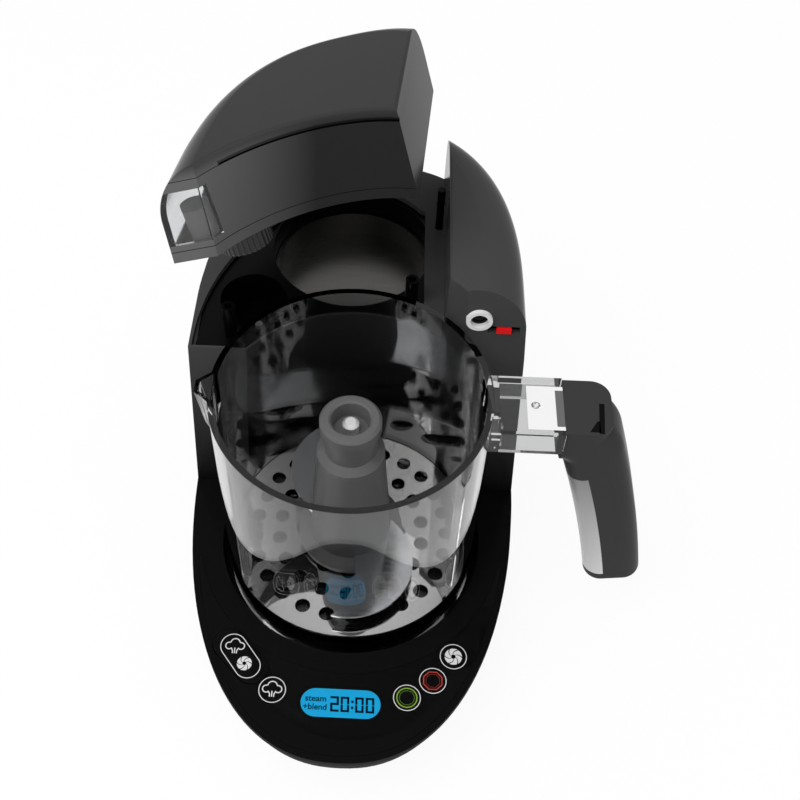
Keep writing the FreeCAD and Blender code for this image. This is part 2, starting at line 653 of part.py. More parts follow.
def key_bars(extra, bottom, top):
    """Upright bars under every key, wider than the key by an extra."""
    radius = size("key_radius") + extra
    bars = {name: round_bar(radius, bottom, top, place.x, place.y) for name, place in KEYS.items()}
    first, second = LONG_KEY
    wide = size("wide_key_radius") + extra
    bars["steam_blend_key"] = long_bar(first.x, first.y, second.x, second.y, wide, bottom, top)
    return bars


def display_bar(extra, bottom, top):
    """An upright bar of the display window's outline."""
    radius = size("display_height") / 2
    half = size("display_length") / 2 - radius
    return long_bar(-half, size("display_y"), half, size("display_y"), radius + extra, bottom, top)


def overlay_outline(shrink, bottom, top):
    """The control panel's shape: the lip's outline in front, a round edge about the bowl behind."""
    inset = size("overlay_inset") + shrink
    shape = egg((inset, bottom), (inset, top))
    shape = shape.cut(round_bar(size("overlay_radius") + shrink, bottom - 1, top + 1))
    return shape.common(block(-REACH, REACH, -REACH, size("overlay_back") - shrink, bottom - 1, top + 1))


# Casings
def make_bottom_tray():
    bottom = size("hull_bottom")
    lip = size("lip_bottom")
    high = size("lip_draft") + size("hull_inset")
    low = high + size("hull_draft")
    bent = high + wall + gap
    bend = bottom + size("hull_bend")
    outside = egg((low, bottom), (bent, bend), (high, lip))
    inside = egg((low + wall, bottom + wall), (bent + wall, bend + wall), (high + wall, lip + wall))
    tray = outside.cut(inside)
    shank = size("screw_radius") + gap
    head = 2 * size("screw_radius") + gap
    for place in SCREWS:
        tray = tray.cut(round_bar(shank, 0, bottom + 2 * wall, place.x, place.y))
        tray = tray.cut(round_bar(head, 0, bottom + wall / 2, place.x, place.y))
    count = int(size("vent_count"))
    back = size("motor_y") - size("motor_leg")
    for step in range(count):
        middle = size("motor_x") + (step - (count - 1) / 2) * size("vent_pitch")
        front = back - size("vent_length")
        tray = tray.cut(long_bar(middle, front, middle, back, size("vent_radius"), 0, bottom + 2 * wall))
    return tray


def seat_opening():
    """The deck's opening over the tank seat: wide at the front, with a lobe round the boiler."""
    half = size("egg_half_width") - size("deck_draft") - size("seat_side_rim")
    middle = Vector(0, size("egg_mid"), deck - wall)
    tall = Vector(0, 0, wall + 1)
    long_axis = middle + Vector(0, size("seat_back"), 0)
    outline = Part.Ellipse(long_axis, middle + Vector(half, 0, 0), middle)
    opening = Part.Face(Part.Wire([outline.toShape()])).extrude(tall)
    lobe = size("boiler_radius") + size("boiler_wall")
    opening = opening.fuse(round_bar(lobe, deck - wall, deck + 1, size("boiler_x"), size("boiler_y")))
    opening = opening.common(behind_wall(size("seat_front_rim")))
    opening = opening.cut(round_bar(size("well_radius") + size("seat_front_rim"), 0, REACH))
    right = size("tank_right") - size("seat_strip")
    return opening.common(block(-REACH, right, -REACH, REACH, 0, REACH))


def make_upper_housing():
    lip = size("lip_bottom")
    lip_draft = size("lip_draft")
    draft = size("deck_draft")
    well = size("well_radius")
    floor = size("well_floor")
    root = panel - wall
    shell = egg((lip_draft, lip), (0, root), (0, panel)).cut(egg((wall + lip_draft, lip - 1), (wall, root)))
    tower = egg((0, root), (draft, deck)).common(behind_wall(0))
    room = egg((wall, root - wall), (wall + draft, deck - wall)).common(behind_wall(wall))
    room = room.cut(round_bar(well + wall, 0, REACH))
    shell = shell.fuse(tower).fuse(round_bar(well + wall, floor - wall, panel - 1))
    shell = shell.cut(room).cut(round_bar(well, floor, REACH))
    shell = shell.cut(seat_opening())
    post_hole = round_bar(size("back_post_radius") + gap, seat_top, deck + 1, back_post.x, back_post.y)
    shell = shell.cut(post_hole)
    shell = shell.cut(overlay_outline(-size("overlay_gap"), panel - size("overlay_thick"), panel + 1))
    for bar in key_bars(gap, panel - 2 * wall, panel + 1).values():
        shell = shell.cut(bar)
    shell = shell.cut(display_bar(-size("overlay_thick"), panel - 2 * wall, panel + 1))
    for place in SCREWS:
        boss = round_bar(size("boss_radius"), size("hull_bottom") + wall, floor - 1, place.x, place.y)
        hole = round_bar(size("screw_radius") + size("run_gap"), 0, floor - wall - 1, place.x, place.y)
        shell = shell.fuse(boss).cut(hole)
    shell = shell.cut(round_bar(2 * size("spindle_radius"), 0, REACH))
    tube = size("tube_radius") + gap
    shell = shell.cut(round_bar(tube, deck - 2 * wall, deck + 1, size("port_x"), size("riser_y")))
    inlet_start = Vector(size("inlet_x"), size("egg_mid"), size("inlet_height"))
    inlet = Part.makeCylinder(size("inlet_radius") + size("run_gap"), REACH, inlet_start, Vector(0, 1, 0))
    return shell.cut(inlet).removeSplitter()


def front_hole(x, height, radius, depth):
    return Part.makeCylinder(radius, depth, Vector(x, wall_at(height) - depth / 2, height), Vector(0, 1, 0))


def round_side(face, inward, top):
    """Everything on one side of an upright face, with its edge along a flat top rounded."""
    far = face + inward * REACH
    room = block(min(face, far), max(face, far), -REACH, REACH, 0, top)
    edges = [edge for edge in room.Edges
             if all(abs(v.X - face) + abs(v.Z - top) < gap for v in edge.Vertexes)]
    return room.makeFillet(size("top_round"), edges)


def flared_bar(radius, top):
    """A round bar that flares under a flat top, to cut a hollow front with a rounded upper edge."""
    bend = size("top_round")
    low = top - bend
    lean = bend * math.sqrt(0.5)
    middle = Vector(radius + bend - lean, 0, low + lean)
    arc = Part.Arc(Vector(radius, 0, low), middle, Vector(radius + bend, 0, top)).toShape()
    corners = [Vector(radius + bend, 0, top), Vector(radius + bend, 0, REACH), Vector(0, 0, REACH),
               Vector(0, 0, 0), Vector(radius, 0, 0), Vector(radius, 0, low)]
    lines = [Part.makeLine(first, second) for first, second in zip(corners, corners[1:])]
    return Part.Face(Part.Wire([arc] + lines)).revolve(Vector(0, 0, 0), Vector(0, 0, 1), 360)


def make_tower_cover():
    top = size("tower_top")
    left = size("cover_left")
    front = size("well_radius") - gap
    cover = tower_solid(0, deck, top).common(behind_wall(0)).cut(flared_bar(front, top))
    cover = cover.common(round_side(left, 1, top))
    room = tower_solid(wall, deck, top - wall).common(behind_wall(wall))
    room = room.cut(round_bar(front + wall, 0, REACH))
    room = room.common(block(left + wall, REACH, -REACH, REACH, 0, REACH))
    cover = cover.cut(room)
    port = size("port_radius") + size("run_gap")
    cover = cover.cut(front_hole(size("port_x"), size("port_height"), port, size("port_length") * 2))
    half = size("slot_width") / 2
    half_slot = size("tab_thick") / 2 + size("slot_gap")
    back = wall_at(size("tab_height")) + 2 * wall
    slot = block(size("tab_x") - half, size("tab_x") + half, 0, back,
                 size("tab_height") - half_slot, size("tab_height") + half_slot)
    return cover.cut(slot)


keep("bottom_tray", shaped("bottom_tray", make_bottom_tray()))
keep("upper_housing", shaped("upper_housing", make_upper_housing()))
keep("tower_cover", shaped("tower_cover", make_tower_cover()))
feet = [cylinder(f"foot_{i}", "foot_radius", "hull_bottom", str(p.x), str(p.y)) for i, p in enumerate(FEET)]
keep("rubber_feet", group("rubber_feet", feet))


def make_tray_screws():
    made = []
    low = size("hull_bottom")
    head = 2 * size("screw_radius")
    for place in SCREWS:
        shank = round_bar(size("screw_radius"), low, size("well_floor") - 2 * wall, place.x, place.y)
        button = round_bar(head, low + size("fit_gap"), low + wall / 2, place.x, place.y)
        made.append(shank.fuse(button).removeSplitter())
    return Part.makeCompound(made)


keep("tray_screws", shaped("tray_screws", make_tray_screws()))


# Control panel
def make_control_panel():
    low = panel - size("overlay_thick")
    sheet_shape = overlay_outline(0, low, panel)
    for bar in key_bars(gap, low - 1, panel + 1).values():
        sheet_shape = sheet_shape.cut(bar)
    return sheet_shape.cut(display_bar(size("overlay_gap"), low - 1, panel + 1))


keep("control_panel", shaped("control_panel", make_control_panel()))
keep("lcd_window", shaped("lcd_window", display_bar(0, panel - size("overlay_thick"), panel)))
board_top = size("board_bottom") + size("board_thick")
board = egg((size("board_inset"), size("board_bottom")), (size("board_inset"), board_top))
board = board.cut(round_bar(size("overlay_radius") - wall, 0, REACH))
board = board.common(block(-REACH, REACH, -REACH, -size("board_back"), 0, REACH))
keep("control_board", shaped("control_board", board))
lcd = box("lcd_module", "display_length + 2 * lcd_border", "display_height + 2 * lcd_border", "lcd_thick",
          "-display_length / 2 - lcd_border", "display_y - display_height / 2 - lcd_border",
          "panel_height - shell_wall - lcd_thick - lcd_gap")
keep("lcd_module", lcd)
stem_bottom = panel - wall - size("stem_drop")
switch_top = stem_bottom - size("key_travel") - size("switch_gap")
half_switch = size("switch_width") / 2
switches = []
key_middles = dict(KEYS)
key_middles["steam_blend_key"] = (LONG_KEY[0] + LONG_KEY[1]) * 0.5
for place in key_middles.values():
    switches.append(block(place.x - half_switch, place.x + half_switch,
                          place.y - half_switch, place.y + half_switch, board_top, switch_top))
keep("key_switches", shaped("key_switches", Part.makeCompound(switches)))
key_top = panel + size("key_proud")
for name, bar in key_bars(0, key_top - size("key_height"), key_top).items():
    place = key_middles[name]
    stem = round_bar(size("key_stem"), stem_bottom, key_top - 1, place.x, place.y)
    keep(name, shaped(name, bar.fuse(stem).removeSplitter()))


# Tank seat and boiler
def make_tank_seat():
    inset = wall + size("deck_draft") + 2 * gap
    plate = egg((inset, seat_bottom), (inset, seat_top)).common(behind_wall(wall + 2 * gap))
    plate = plate.cut(round_bar(size("well_radius") + wall + 2 * gap, 0, REACH))
    plate = plate.common(block(-REACH, size("cover_left") + wall, -REACH, REACH, 0, REACH))
    x = size("boiler_x")
    y = size("boiler_y")
    tube_bottom = seat_top - size("boiler_depth")
    plate = plate.fuse(round_bar(size("boiler_radius") + size("boiler_wall"), tube_bottom, seat_top, x, y))
    plate = plate.cut(round_bar(size("boiler_radius"), 0, REACH, x, y))
    far = socket + slip(socket, size("basin_depth"))
    inside = size("cap_radius") + size("basin_gap")
    outside = inside + size("basin_wall")
    low = seat_top - size("basin_depth")
    under = low - size("basin_wall")
    plate = plate.fuse(long_bar(socket.x, socket.y, far.x, far.y, outside, under, seat_top))
    plate = plate.cut(long_bar(socket.x, socket.y, far.x, far.y, inside, low, seat_top + 1))
    radius = size("post_radius")
    for place in POSTS:
        plate = plate.fuse(round_bar(radius, seat_bottom, post_top, place.x, place.y))
        hollow = round_bar(radius * 0.6, post_top - size("post_height") / 2, post_top + 1, place.x, place.y)
        plate = plate.cut(hollow)
    tall = round_bar(size("back_post_radius"), seat_bottom, back_post_top, back_post.x, back_post.y)
    return plate.fuse(tall.cut(cross_pin(REACH))).removeSplitter()


def cross_pin(length):
    middle = Vector(back_post.x - length / 2, back_post.y, post_top)
    return Part.makeCylinder(size("cross_pin_radius"), length, middle, Vector(1, 0, 0))


keep("tank_seat", shaped("tank_seat", make_tank_seat()))
keep("post_pin", shaped("post_pin", cross_pin(2 * size("back_post_radius") + 2 * gap)))
dish_points = [
    ("0", "dish_bottom"),
    ("boiler_radius + boiler_wall + 1", "dish_bottom"),
    ("boiler_radius + boiler_wall + 1", "dish_bottom + dish_thick"),
    ("boiler_radius - 0.4", "dish_bottom + dish_thick"),
    ("boiler_radius - 0.4", "dish_bottom + dish_height"),
    ("boiler_radius - 0.4 - dish_thick * 0.8", "dish_bottom + dish_height"),
    ("boiler_radius - 0.4 - dish_thick * 0.8", "dish_bottom + dish_thick"),
    ("0", "dish_bottom + dish_thick"),
]
keep("boiler_dish", turned("boiler_dish", dish_points, "boiler_x", "boiler_y"))
seal_points = [
    ("boiler_radius + fit_gap", "dish_bottom + dish_thick"),
    ("boiler_radius + boiler_wall + 0.6", "dish_bottom + dish_thick"),
    ("boiler_radius + boiler_wall + 0.6", "dish_bottom + dish_thick + seal_thick"),
    ("boiler_radius + fit_gap", "dish_bottom + dish_thick + seal_thick"),
]
keep("boiler_seal", turned("boiler_seal", seal_points, "boiler_x", "boiler_y"))
element = document.addObject("Part::Torus", "heating_element")
bind(element, Radius1="boiler_radius * 0.66", Radius2="element_radius", Placement__Base__x="boiler_x",
     Placement__Base__y="boiler_y", Placement__Base__z="dish_bottom - element_radius - 0.02")
keep("heating_element", element)
keep("thermostat", cylinder("thermostat", "thermostat_radius", "thermostat_height", "boiler_x", "boiler_y",
                            "dish_bottom - thermostat_height"))
basin_floor = "deck_height - shell_wall - fit_gap / 3 - basin_depth"
keep("valve_pin", cylinder("valve_pin", "valve_pin_radius", "valve_pin_height",
                           "socket_x", "socket_y", basin_floor))

# Steam path and interlock
port_front = wall_at(size("port_height")) - size("port_proud")


def sleeve(outer, inner, start, length):
    foot = Vector(size("port_x"), start, size("port_height"))
    ring = Part.makeCylinder(outer, length, foot, Vector(0, 1, 0))
    return ring.cut(Part.makeCylinder(inner, REACH, foot - Vector(0, 1, 0), Vector(0, 1, 0)))


ring = sleeve(size("port_radius"), size("port_bore"), port_front, size("port_length"))
keep("steam_port", shaped("steam_port", ring))
sleeve_start = 2 * size("port_proud")
lining = sleeve(size("port_bore"), size("tube_radius") + size("run_gap"), port_front + sleeve_start,
                size("port_length") - sleeve_start)
keep("steam_sleeve", shaped("steam_sleeve", lining))
tube_height = seat_bottom - size("tube_drop")
boiler = Vector(size("boiler_x"), size("boiler_y"), tube_height)
riser = Vector(size("port_x"), size("riser_y"), tube_height)
outward = (riser - boiler).normalize()
TUBE = [
    boiler + outward * (size("boiler_radius") + size("boiler_wall")),
    riser,
    Vector(size("port_x"), size("riser_y"), size("port_height")),
    Vector(size("port_x"), port_front + size("port_length") / 2, size("port_height")),
]
steam_tube = pipe(TUBE, size("tube_bend"), size("tube_radius"))
steam_tube = steam_tube.cut(pipe(TUBE, size("tube_bend"), size("tube_bore")))
keep("steam_tube", shaped("steam_tube", steam_tube))
tab_front = wall_at(size("tab_height")) - size("tab_proud")
keep("interlock_tab", box("interlock_tab", "tab_width", "tab_length", "tab_thick", "tab_x - tab_width / 2",
                          str(tab_front), "tab_height - tab_thick / 2"))
switch_front = tab_front + size("tab_length") + size("tab_travel") + 1
keep("interlock_switch", box("interlock_switch", "tab_width + 2", "switch_length", "switch_height",
                             "tab_x - tab_width", str(switch_front), "tab_height - switch_height / 2"))

# Motor and drive
shaft_points = [
    ("0", "hull_bottom + shell_wall + 0.3"),
    ("spindle_radius", "hull_bottom + shell_wall + 0.3"),
    ("spindle_radius", "dog_bottom + dog_height - 1"),
    ("0", "dog_bottom + dog_height - 1"),
]
keep("drive_shaft", turned("drive_shaft", shaft_points))
pulley_points = [
    ("spindle_radius", "pulley_bottom - 1"),
    ("pulley_radius + 2.5", "pulley_bottom - 1"),
    ("pulley_radius + 2.5", "pulley_bottom"),
    ("pulley_radius", "pulley_bottom"),
    ("pulley_radius", "pulley_bottom + pulley_height"),
    ("pulley_radius + 2.5", "pulley_bottom + pulley_height"),
    ("pulley_radius + 2.5", "pulley_bottom + pulley_height + 1"),
    ("spindle_radius", "pulley_bottom + pulley_height + 1"),
]
keep("driven_pulley", turned("driven_pulley", pulley_points))
small_points = [
    ("motor_shaft_radius", "pulley_bottom - 1"),
    ("motor_pulley_radius + 2.5", "pulley_bottom - 1"),
    ("motor_pulley_radius + 2.5", "pulley_bottom"),
    ("motor_pulley_radius", "pulley_bottom"),
    ("motor_pulley_radius", "pulley_bottom + pulley_height"),
    ("motor_shaft_radius", "pulley_bottom + pulley_height"),
]
keep("motor_pulley", turned("motor_pulley", small_points, "motor_x", "motor_y"))
dog = cut("drive_dog", hexagon("dog_block", "dog_radius", "dog_height", z="dog_bottom"),
          [cylinder("dog_bore", "spindle_radius", "dog_height - 1", z="dog_bottom")])
keep("drive_dog", dog)
bush_points = [
    ("spindle_radius + run_gap", "well_floor - shell_wall - 4"),
    ("spindle_radius * 2 + 3", "well_floor - shell_wall - 4"),
    ("spindle_radius * 2 + 3", "well_floor - shell_wall"),
    ("spindle_radius * 2 - run_gap", "well_floor - shell_wall"),
    ("spindle_radius * 2 - run_gap", "well_floor + 1"),
    ("spindle_radius + run_gap", "well_floor + 1"),
]
keep("drive_bush", turned("drive_bush", bush_points))
pivot_points = [
    ("spindle_radius + run_gap", "hull_bottom + shell_wall"),
    ("spindle_radius * 2 + 2", "hull_bottom + shell_wall"),
    ("spindle_radius * 2 + 2", "pulley_bottom - 1.4"),
    ("spindle_radius + run_gap", "pulley_bottom - 1.4"),
]
keep("drive_pivot", turned("drive_pivot", pivot_points))
can_points = [
    ("motor_shaft_radius + run_gap", "motor_bottom"),
    ("motor_radius", "motor_bottom"),
    ("motor_radius", "motor_top - motor_radius * 0.25"),
    ("motor_radius * 0.75", "motor_top"),
    ("motor_shaft_radius + run_gap", "motor_top"),
]
keep("motor_can", turned("motor_can", can_points, "motor_x", "motor_y"))
rotor_points = [
    ("0", "pulley_bottom - 2"),
    ("motor_shaft_radius", "pulley_bottom - 2"),
    ("motor_shaft_radius", "motor_top + 2"),
    ("0", "motor_top + 2"),
]
keep("motor_shaft", turned("motor_shaft", rotor_points, "motor_x", "motor_y"))
plate = box("motor_plate_box", "2 * motor_radius", "2 * motor_radius - 2 * motor_leg", "motor_plate",
            "motor_x - motor_radius", "motor_y - motor_radius + motor_leg", "motor_bottom - motor_plate")
legs = []
for corner, (x, y) in enumerate(((-1, -1), (-1, 1), (1, -1), (1, 1))):
    legs.append(cylinder(f"motor_leg_{corner}", "motor_leg", "motor_bottom - hull_bottom - shell_wall - 1",
                         f"motor_x + {x} * (motor_radius - 1.5 * motor_leg)",
                         f"motor_y + {y} * (motor_radius - 2.5 * motor_leg)", "hull_bottom + shell_wall"))
shaft_hole = cylinder("motor_plate_hole", "motor_shaft_radius * 2", "motor_plate + 2", "motor_x", "motor_y",
                      "motor_bottom - motor_plate - 1")
keep("motor_bracket", cut("motor_bracket", fuse("motor_stand", [plate] + legs), [shaft_hole]))


def make_belt():
    """An open belt round both pulleys: two arcs and two tangent runs."""
    middle = Vector(size("motor_x"), size("motor_y"), 0)
    large = size("pulley_radius") + size("belt_gap")
    small = size("motor_pulley_radius") + size("belt_gap")

    def loop(extra):
        heading = math.atan2(middle.y, middle.x)
        lean = math.acos((large - small) / middle.Length)
        first = Vector(math.cos(heading + lean), math.sin(heading + lean), 0)
        second = Vector(math.cos(heading - lean), math.sin(heading - lean), 0)
        ahead = Vector(math.cos(heading), math.sin(heading), 0)
        edges = [
            Part.Arc(first * (large + extra), ahead * -(large + extra), second * (large + extra)).toShape(),
            Part.makeLine(second * (large + extra), middle + second * (small + extra)),
            Part.Arc(middle + second * (small + extra), middle + ahead * (small + extra),
                     middle + first * (small + extra)).toShape(),
            Part.makeLine(middle + first * (small + extra), first * (large + extra)),
        ]
        return Part.Face(Part.Wire(edges))
    ring = loop(size("belt_thick")).cut(loop(0))
    ring.translate(Vector(0, 0, size("pulley_bottom") + size("belt_margin")))
    return ring.extrude(Vector(0, 0, size("pulley_height") - 2 * size("belt_margin")))


keep("drive_belt", shaped("drive_belt", make_belt()))


def make_power_board():
    """The supply board on its edge by the right wall, with a choke, two capacitors and a relay."""
    face = size("power_board_x")
    near = size("power_board_y")
    low = size("power_board_rise")
    far = near + size("power_board_length")
    board = block(face, face + size("board_thick"), near, far, low, low + size("power_board_height"))
    high = low + size("power_board_height")
    inward = Vector(-1, 0, 0)
    edge = size("component_gap")
    choke = size("choke_size")
    relay = size("relay_size")
    large = size("capacitor_radius")
    small = large * 0.7
    tall = size("capacitor_length")
    on_board = [
        block(face - size("choke_deep"), face, near + edge, near + edge + choke,
              low + edge, low + edge + choke),
        block(face - size("relay_deep"), face, far - edge - relay, far - edge,
              high - edge - relay, high - edge),
        Part.makeCylinder(large, tall, Vector(face, far - edge - large, low + edge + large), inward),
        Part.makeCylinder(small, tall * 0.7, Vector(face, near + edge + small, high - edge - small), inward),
    ]
    return board.multiFuse(on_board).removeSplitter()


keep("power_board", shaped("power_board", make_power_board()))


def make_grommet():
    power = size("tail_fullness")
    outline = (1 - abs(size("inlet_x") / size("egg_half_width")) ** power) ** (1 / power)
    skin = Vector(size("inlet_x"), size("egg_rear") + size("egg_back") * outline, size("inlet_height"))
    back = Vector(0, 1, 0)
    radius = size("inlet_radius")
    inside = back * (2 * wall)
    proud = back * size("inlet_proud")
    sleeve_bar = Part.makeCylinder(radius, 2 * wall + size("inlet_proud") + 1, skin - inside, back)
    flange = Part.makeCylinder(radius + size("inlet_flange"), size("inlet_length"), skin + proud, back)
    bore = Part.makeCylinder(radius / 2, REACH, skin - inside * 2, back)
    return sleeve_bar.fuse(flange).cut(bore).removeSplitter()


keep("cord_grommet", shaped("cord_grommet", make_grommet()))


# Bowl
bowl_points = [
    ("socket_radius + 2", "bowl_floor"),
    ("bowl_radius - bowl_wall", "bowl_floor"),
    ("bowl_radius - bowl_wall", "bowl_foot"),
    ("bowl_radius", "bowl_foot"),
    ("bowl_radius", "rim_height"),
    ("bowl_radius - bowl_wall", "rim_height"),
    ("bowl_radius - bowl_wall", "bowl_floor + floor_thick + ledge_height"),
    ("bowl_radius - bowl_wall - ledge_width", "bowl_floor + floor_thick + ledge_height"),
    ("bowl_radius - bowl_wall - ledge_width", "bowl_floor + floor_thick"),
    ("socket_radius + 2", "bowl_floor + floor_thick"),
]


def make_ribs():
    """The bowl's two inner ribs, each a box turned to face the axis."""
    made = []
    for index, heading in enumerate((215, 325)):
        rib = box(f"bowl_rib_{index}", "rib_depth + 1", "rib_width",
                  "rim_height - rib_end - plate_bottom - rib_start", z="plate_bottom + rib_start")
        rib.Placement.Rotation = FreeCAD.Rotation(Vector(0, 0, 1), heading)
        east = math.cos(math.radians(heading))
        north = math.sin(math.radians(heading))
        radius = "(bowl_radius - bowl_wall - rib_depth)"
        bind(rib, Placement__Base__x=f"{radius} * {east:.5f} + rib_width / 2 * {north:.5f}",
             Placement__Base__y=f"{radius} * {north:.5f} - rib_width / 2 * {east:.5f}")
        made.append(rib)
    return made


def spout_wedge(inset, bottom, top):
    """A V-shaped pouring lip on the bowl's left, narrower toward its foot."""
    root = -(size("bowl_radius") - size("bowl_wall") * 0.8 + inset * 0.2)
    tip = -(size("bowl_radius") + size("spout_reach") - inset)
    half = size("spout_width") / 2 - inset
    ends = []
    for height, share in ((bottom, 0.62), (top, 1.0)):
        far = root + (tip - root) * share
        corners = [(root, -half), (far, -half * 0.35), (far, half * 0.35), (root, half), (root, -half)]
        ends.append(Part.makePolygon([Vector(x, y, height) for x, y in corners]))
    return Part.makeLoft(ends, True, True)


rim = size("rim_height")
spout_foot = rim - size("spout_drop")
spout_block = shaped("spout_block", spout_wedge(0, spout_foot, rim))
spout_room = spout_wedge(size("spout_wall"), spout_foot + wall, rim + size("run_gap"))
spout_hollow = shaped("spout_hollow", spout_room)
bracket_block = box("bracket_block", "bracket_reach + bowl_wall * 0.7", "bracket_width", "bracket_drop",
                    "bowl_radius - bowl_wall * 0.7", "-bracket_width / 2", "bracket_top - bracket_drop")
bracket_room = box("bracket_room", "bracket_reach - 2 * bracket_wall", "bracket_width - 2 * bracket_wall",
                   "bracket_drop", "bowl_radius + bracket_wall", "bracket_wall - bracket_width / 2",
                   "bracket_top - bracket_drop - bracket_wall")
gusset = box("bracket_gusset", "gusset_reach + bowl_wall * 0.7", "gusset_width", "bracket_drop",
             "bowl_radius - bowl_wall * 0.7", "-gusset_width / 2", "bracket_top - 2 * bracket_drop + 1")
screw_hole = cylinder("bracket_screw_hole", "handle_screw_shank + run_gap", "bracket_drop", "screw_x", "0",
                      "bracket_top - bracket_drop / 2")
bowl_pieces = [turned("bowl_cup", bowl_points)] + make_ribs() + [spout_block, bracket_block, gusset]
keep("bowl", cut("bowl", fuse("bowl_whole", bowl_pieces), [spout_hollow, bracket_room, screw_hole]))


def make_strainer():
    """A round sheet with rings of holes: each ring has as many as its pitch allows."""
    outer = size("bowl_radius") - size("bowl_wall") - gap
    low = size("plate_bottom")
    upward = Vector(0, 0, 1)
    pitch = size("plate_pitch")
    outlines = [Part.Circle(Vector(0, 0, low), upward, outer).toShape(),
                Part.Circle(Vector(0, 0, low), upward, size("socket_radius") + 2).toShape()]
    ring = 2
    while ring * pitch + size("plate_hole") / 2 < outer - size("ledge_width") + 2 * gap:
        count = int(2 * math.pi * ring)
        for step in range(count):
            turn = 2 * math.pi * (step + 0.5 * (ring % 2)) / count
            middle = Vector(math.cos(turn), math.sin(turn), 0) * (ring * pitch) + Vector(0, 0, low)
            outlines.append(Part.Circle(middle, upward, size("plate_hole") / 2).toShape())
        ring += 1
    face = Part.Face([Part.Wire([outline]) for outline in outlines])
    face.validate()
    return face.extrude(Vector(0, 0, size("plate_thick")))


keep("strainer_plate", shaped("strainer_plate", make_strainer()))
bush = [
    ("spindle_radius + run_gap", "bowl_floor"),
    ("socket_radius + 2", "bowl_floor"),
    ("socket_radius + 2", "plate_bottom"),
    ("spindle_radius + run_gap", "plate_bottom"),
]
keep("bowl_bush", turned("bowl_bush", bush))


def grip_path(first, last):
    """The grip's centre line from the bracket: level, round the bend, then down in a slight curl.

    first and last say how far along the lower run to start and end, and first is None for the whole line.
    """
    corner = Vector(size("grip_corner"), 0, size("grip_height"))
    splay = math.radians(size("grip_splay"))
    bend = size("grip_bend")
    reach = bend * math.tan((math.pi / 2 - splay) / 2)
    enter = corner + Vector(-reach, 0, 0)
    leave = corner + Vector(math.sin(splay), 0, -math.cos(splay)) * reach
    curl = math.radians(size("grip_curl")) / (size("grip_length") - reach)

    def below(along):
        """The place that lies so far along the lower run, where the lean has shrunk by the curl."""
        lean = splay - curl * along
        return leave + Vector(math.cos(lean) - math.cos(splay), 0, math.sin(lean) - math.sin(splay)) / curl

    def lower_run(near, far):
        return Part.Arc(below(near), below((near + far) / 2), below(far)).toShape()

    if first is not None:
        return Part.Wire([lower_run(first, last)])
    start = Vector(size("bracket_end"), 0, size("grip_height"))
    centre = enter + Vector(0, 0, -bend)
    middle = (corner - centre).normalize() * bend + centre
    bent = Part.Arc(enter, middle, leave).toShape()
    return Part.Wire([Part.makeLine(start, enter), bent, lower_run(0, size("grip_length") - reach)])


def grip_bar(shrink):
    """The grip's rounded bar along the whole centre line, thinner by a shrink all round."""
    spine = grip_path(None, None)
    start = spine.Edges[0].valueAt(spine.Edges[0].FirstParameter)
    half_wide = size("grip_wide") / 2 - shrink
    half_deep = size("grip_deep") / 2 - shrink
    corners = ((-1, -1), (1, -1), (1, 1), (-1, 1), (-1, -1))
    ring = [start + Vector(0, y * half_wide, z * half_deep) for y, z in corners]
    bar = spine.makePipeShell([Part.makePolygon(ring)], True, False)
    sides = [edge for edge in bar.Edges if abs(abs(edge.CenterOfMass.y) - half_wide) < size("run_gap")]
    long_edges = [edge for edge in sides if not is_across(edge, half_deep)]
    bar = bar.makeFillet(size("grip_round") - shrink, long_edges)
    end = spine.Edges[-1].valueAt(spine.Edges[-1].LastParameter)
    down = spine.Edges[-1].tangentAt(spine.Edges[-1].LastParameter)
    end_edges = [edge for edge in bar.Edges if all(abs((v.Point - end).dot(down)) < size("run_gap")
                                                   for v in edge.Vertexes)]
    return bar.makeFillet((size("grip_round") - shrink) / 2, end_edges)


def is_across(edge, half_deep):
    """True for the short straight edges at the ends of the grip's bar."""
    return isinstance(edge.Curve, Part.Line) and abs(edge.Length - 2 * half_deep) < size("run_gap")


def inlay_room(extra):
    """The inner side of the grip's lower run, outside the grip's core, where the inlay lies."""
    first = size("inlay_start") - extra
    spine = grip_path(first, first + size("inlay_length") + 2 * extra)
    start = spine.Edges[0].valueAt(spine.Edges[0].FirstParameter)
    down = spine.Edges[0].tangentAt(spine.Edges[0].FirstParameter)
    outward = Vector(-down.z, 0, down.x)
    near = -size("grip_deep")
    far = size("inlay_reach") - size("grip_deep") / 2 + extra
    half = size("grip_wide")
    ring = [start + outward * x + Vector(0, y, 0)
            for x, y in ((near, -half), (far, -half), (far, half), (near, half), (near, -half))]
    room = spine.makePipeShell([Part.makePolygon(ring)], True, False)
    return room.cut(grip_bar(size("inlay_deep") + extra))


def grip_head():
    """The grip's upper end: a block with round outer corners, level with the bracket."""
    half = size("grip_wide") / 2
    end = size("bracket_end")
    top = size("bracket_top")
    head = block(end, end + size("head_out"), -half, half, top - size("head_drop"), top)
    outer = [edge for edge in head.Edges if edge.BoundBox.XMin > end and edge.BoundBox.ZLength > 1]
    return head.makeFillet(size("head_round"), outer)


def make_grip():
    """The bar and its head, level on top, with room for the inlay."""
    level = block(0, REACH, -REACH, REACH, 0, size("bracket_top"))
    return grip_bar(0).fuse(grip_head()).common(level).cut(inlay_room(size("run_gap"))).removeSplitter()


def make_inlay():
    return grip_bar(0).common(inlay_room(0))


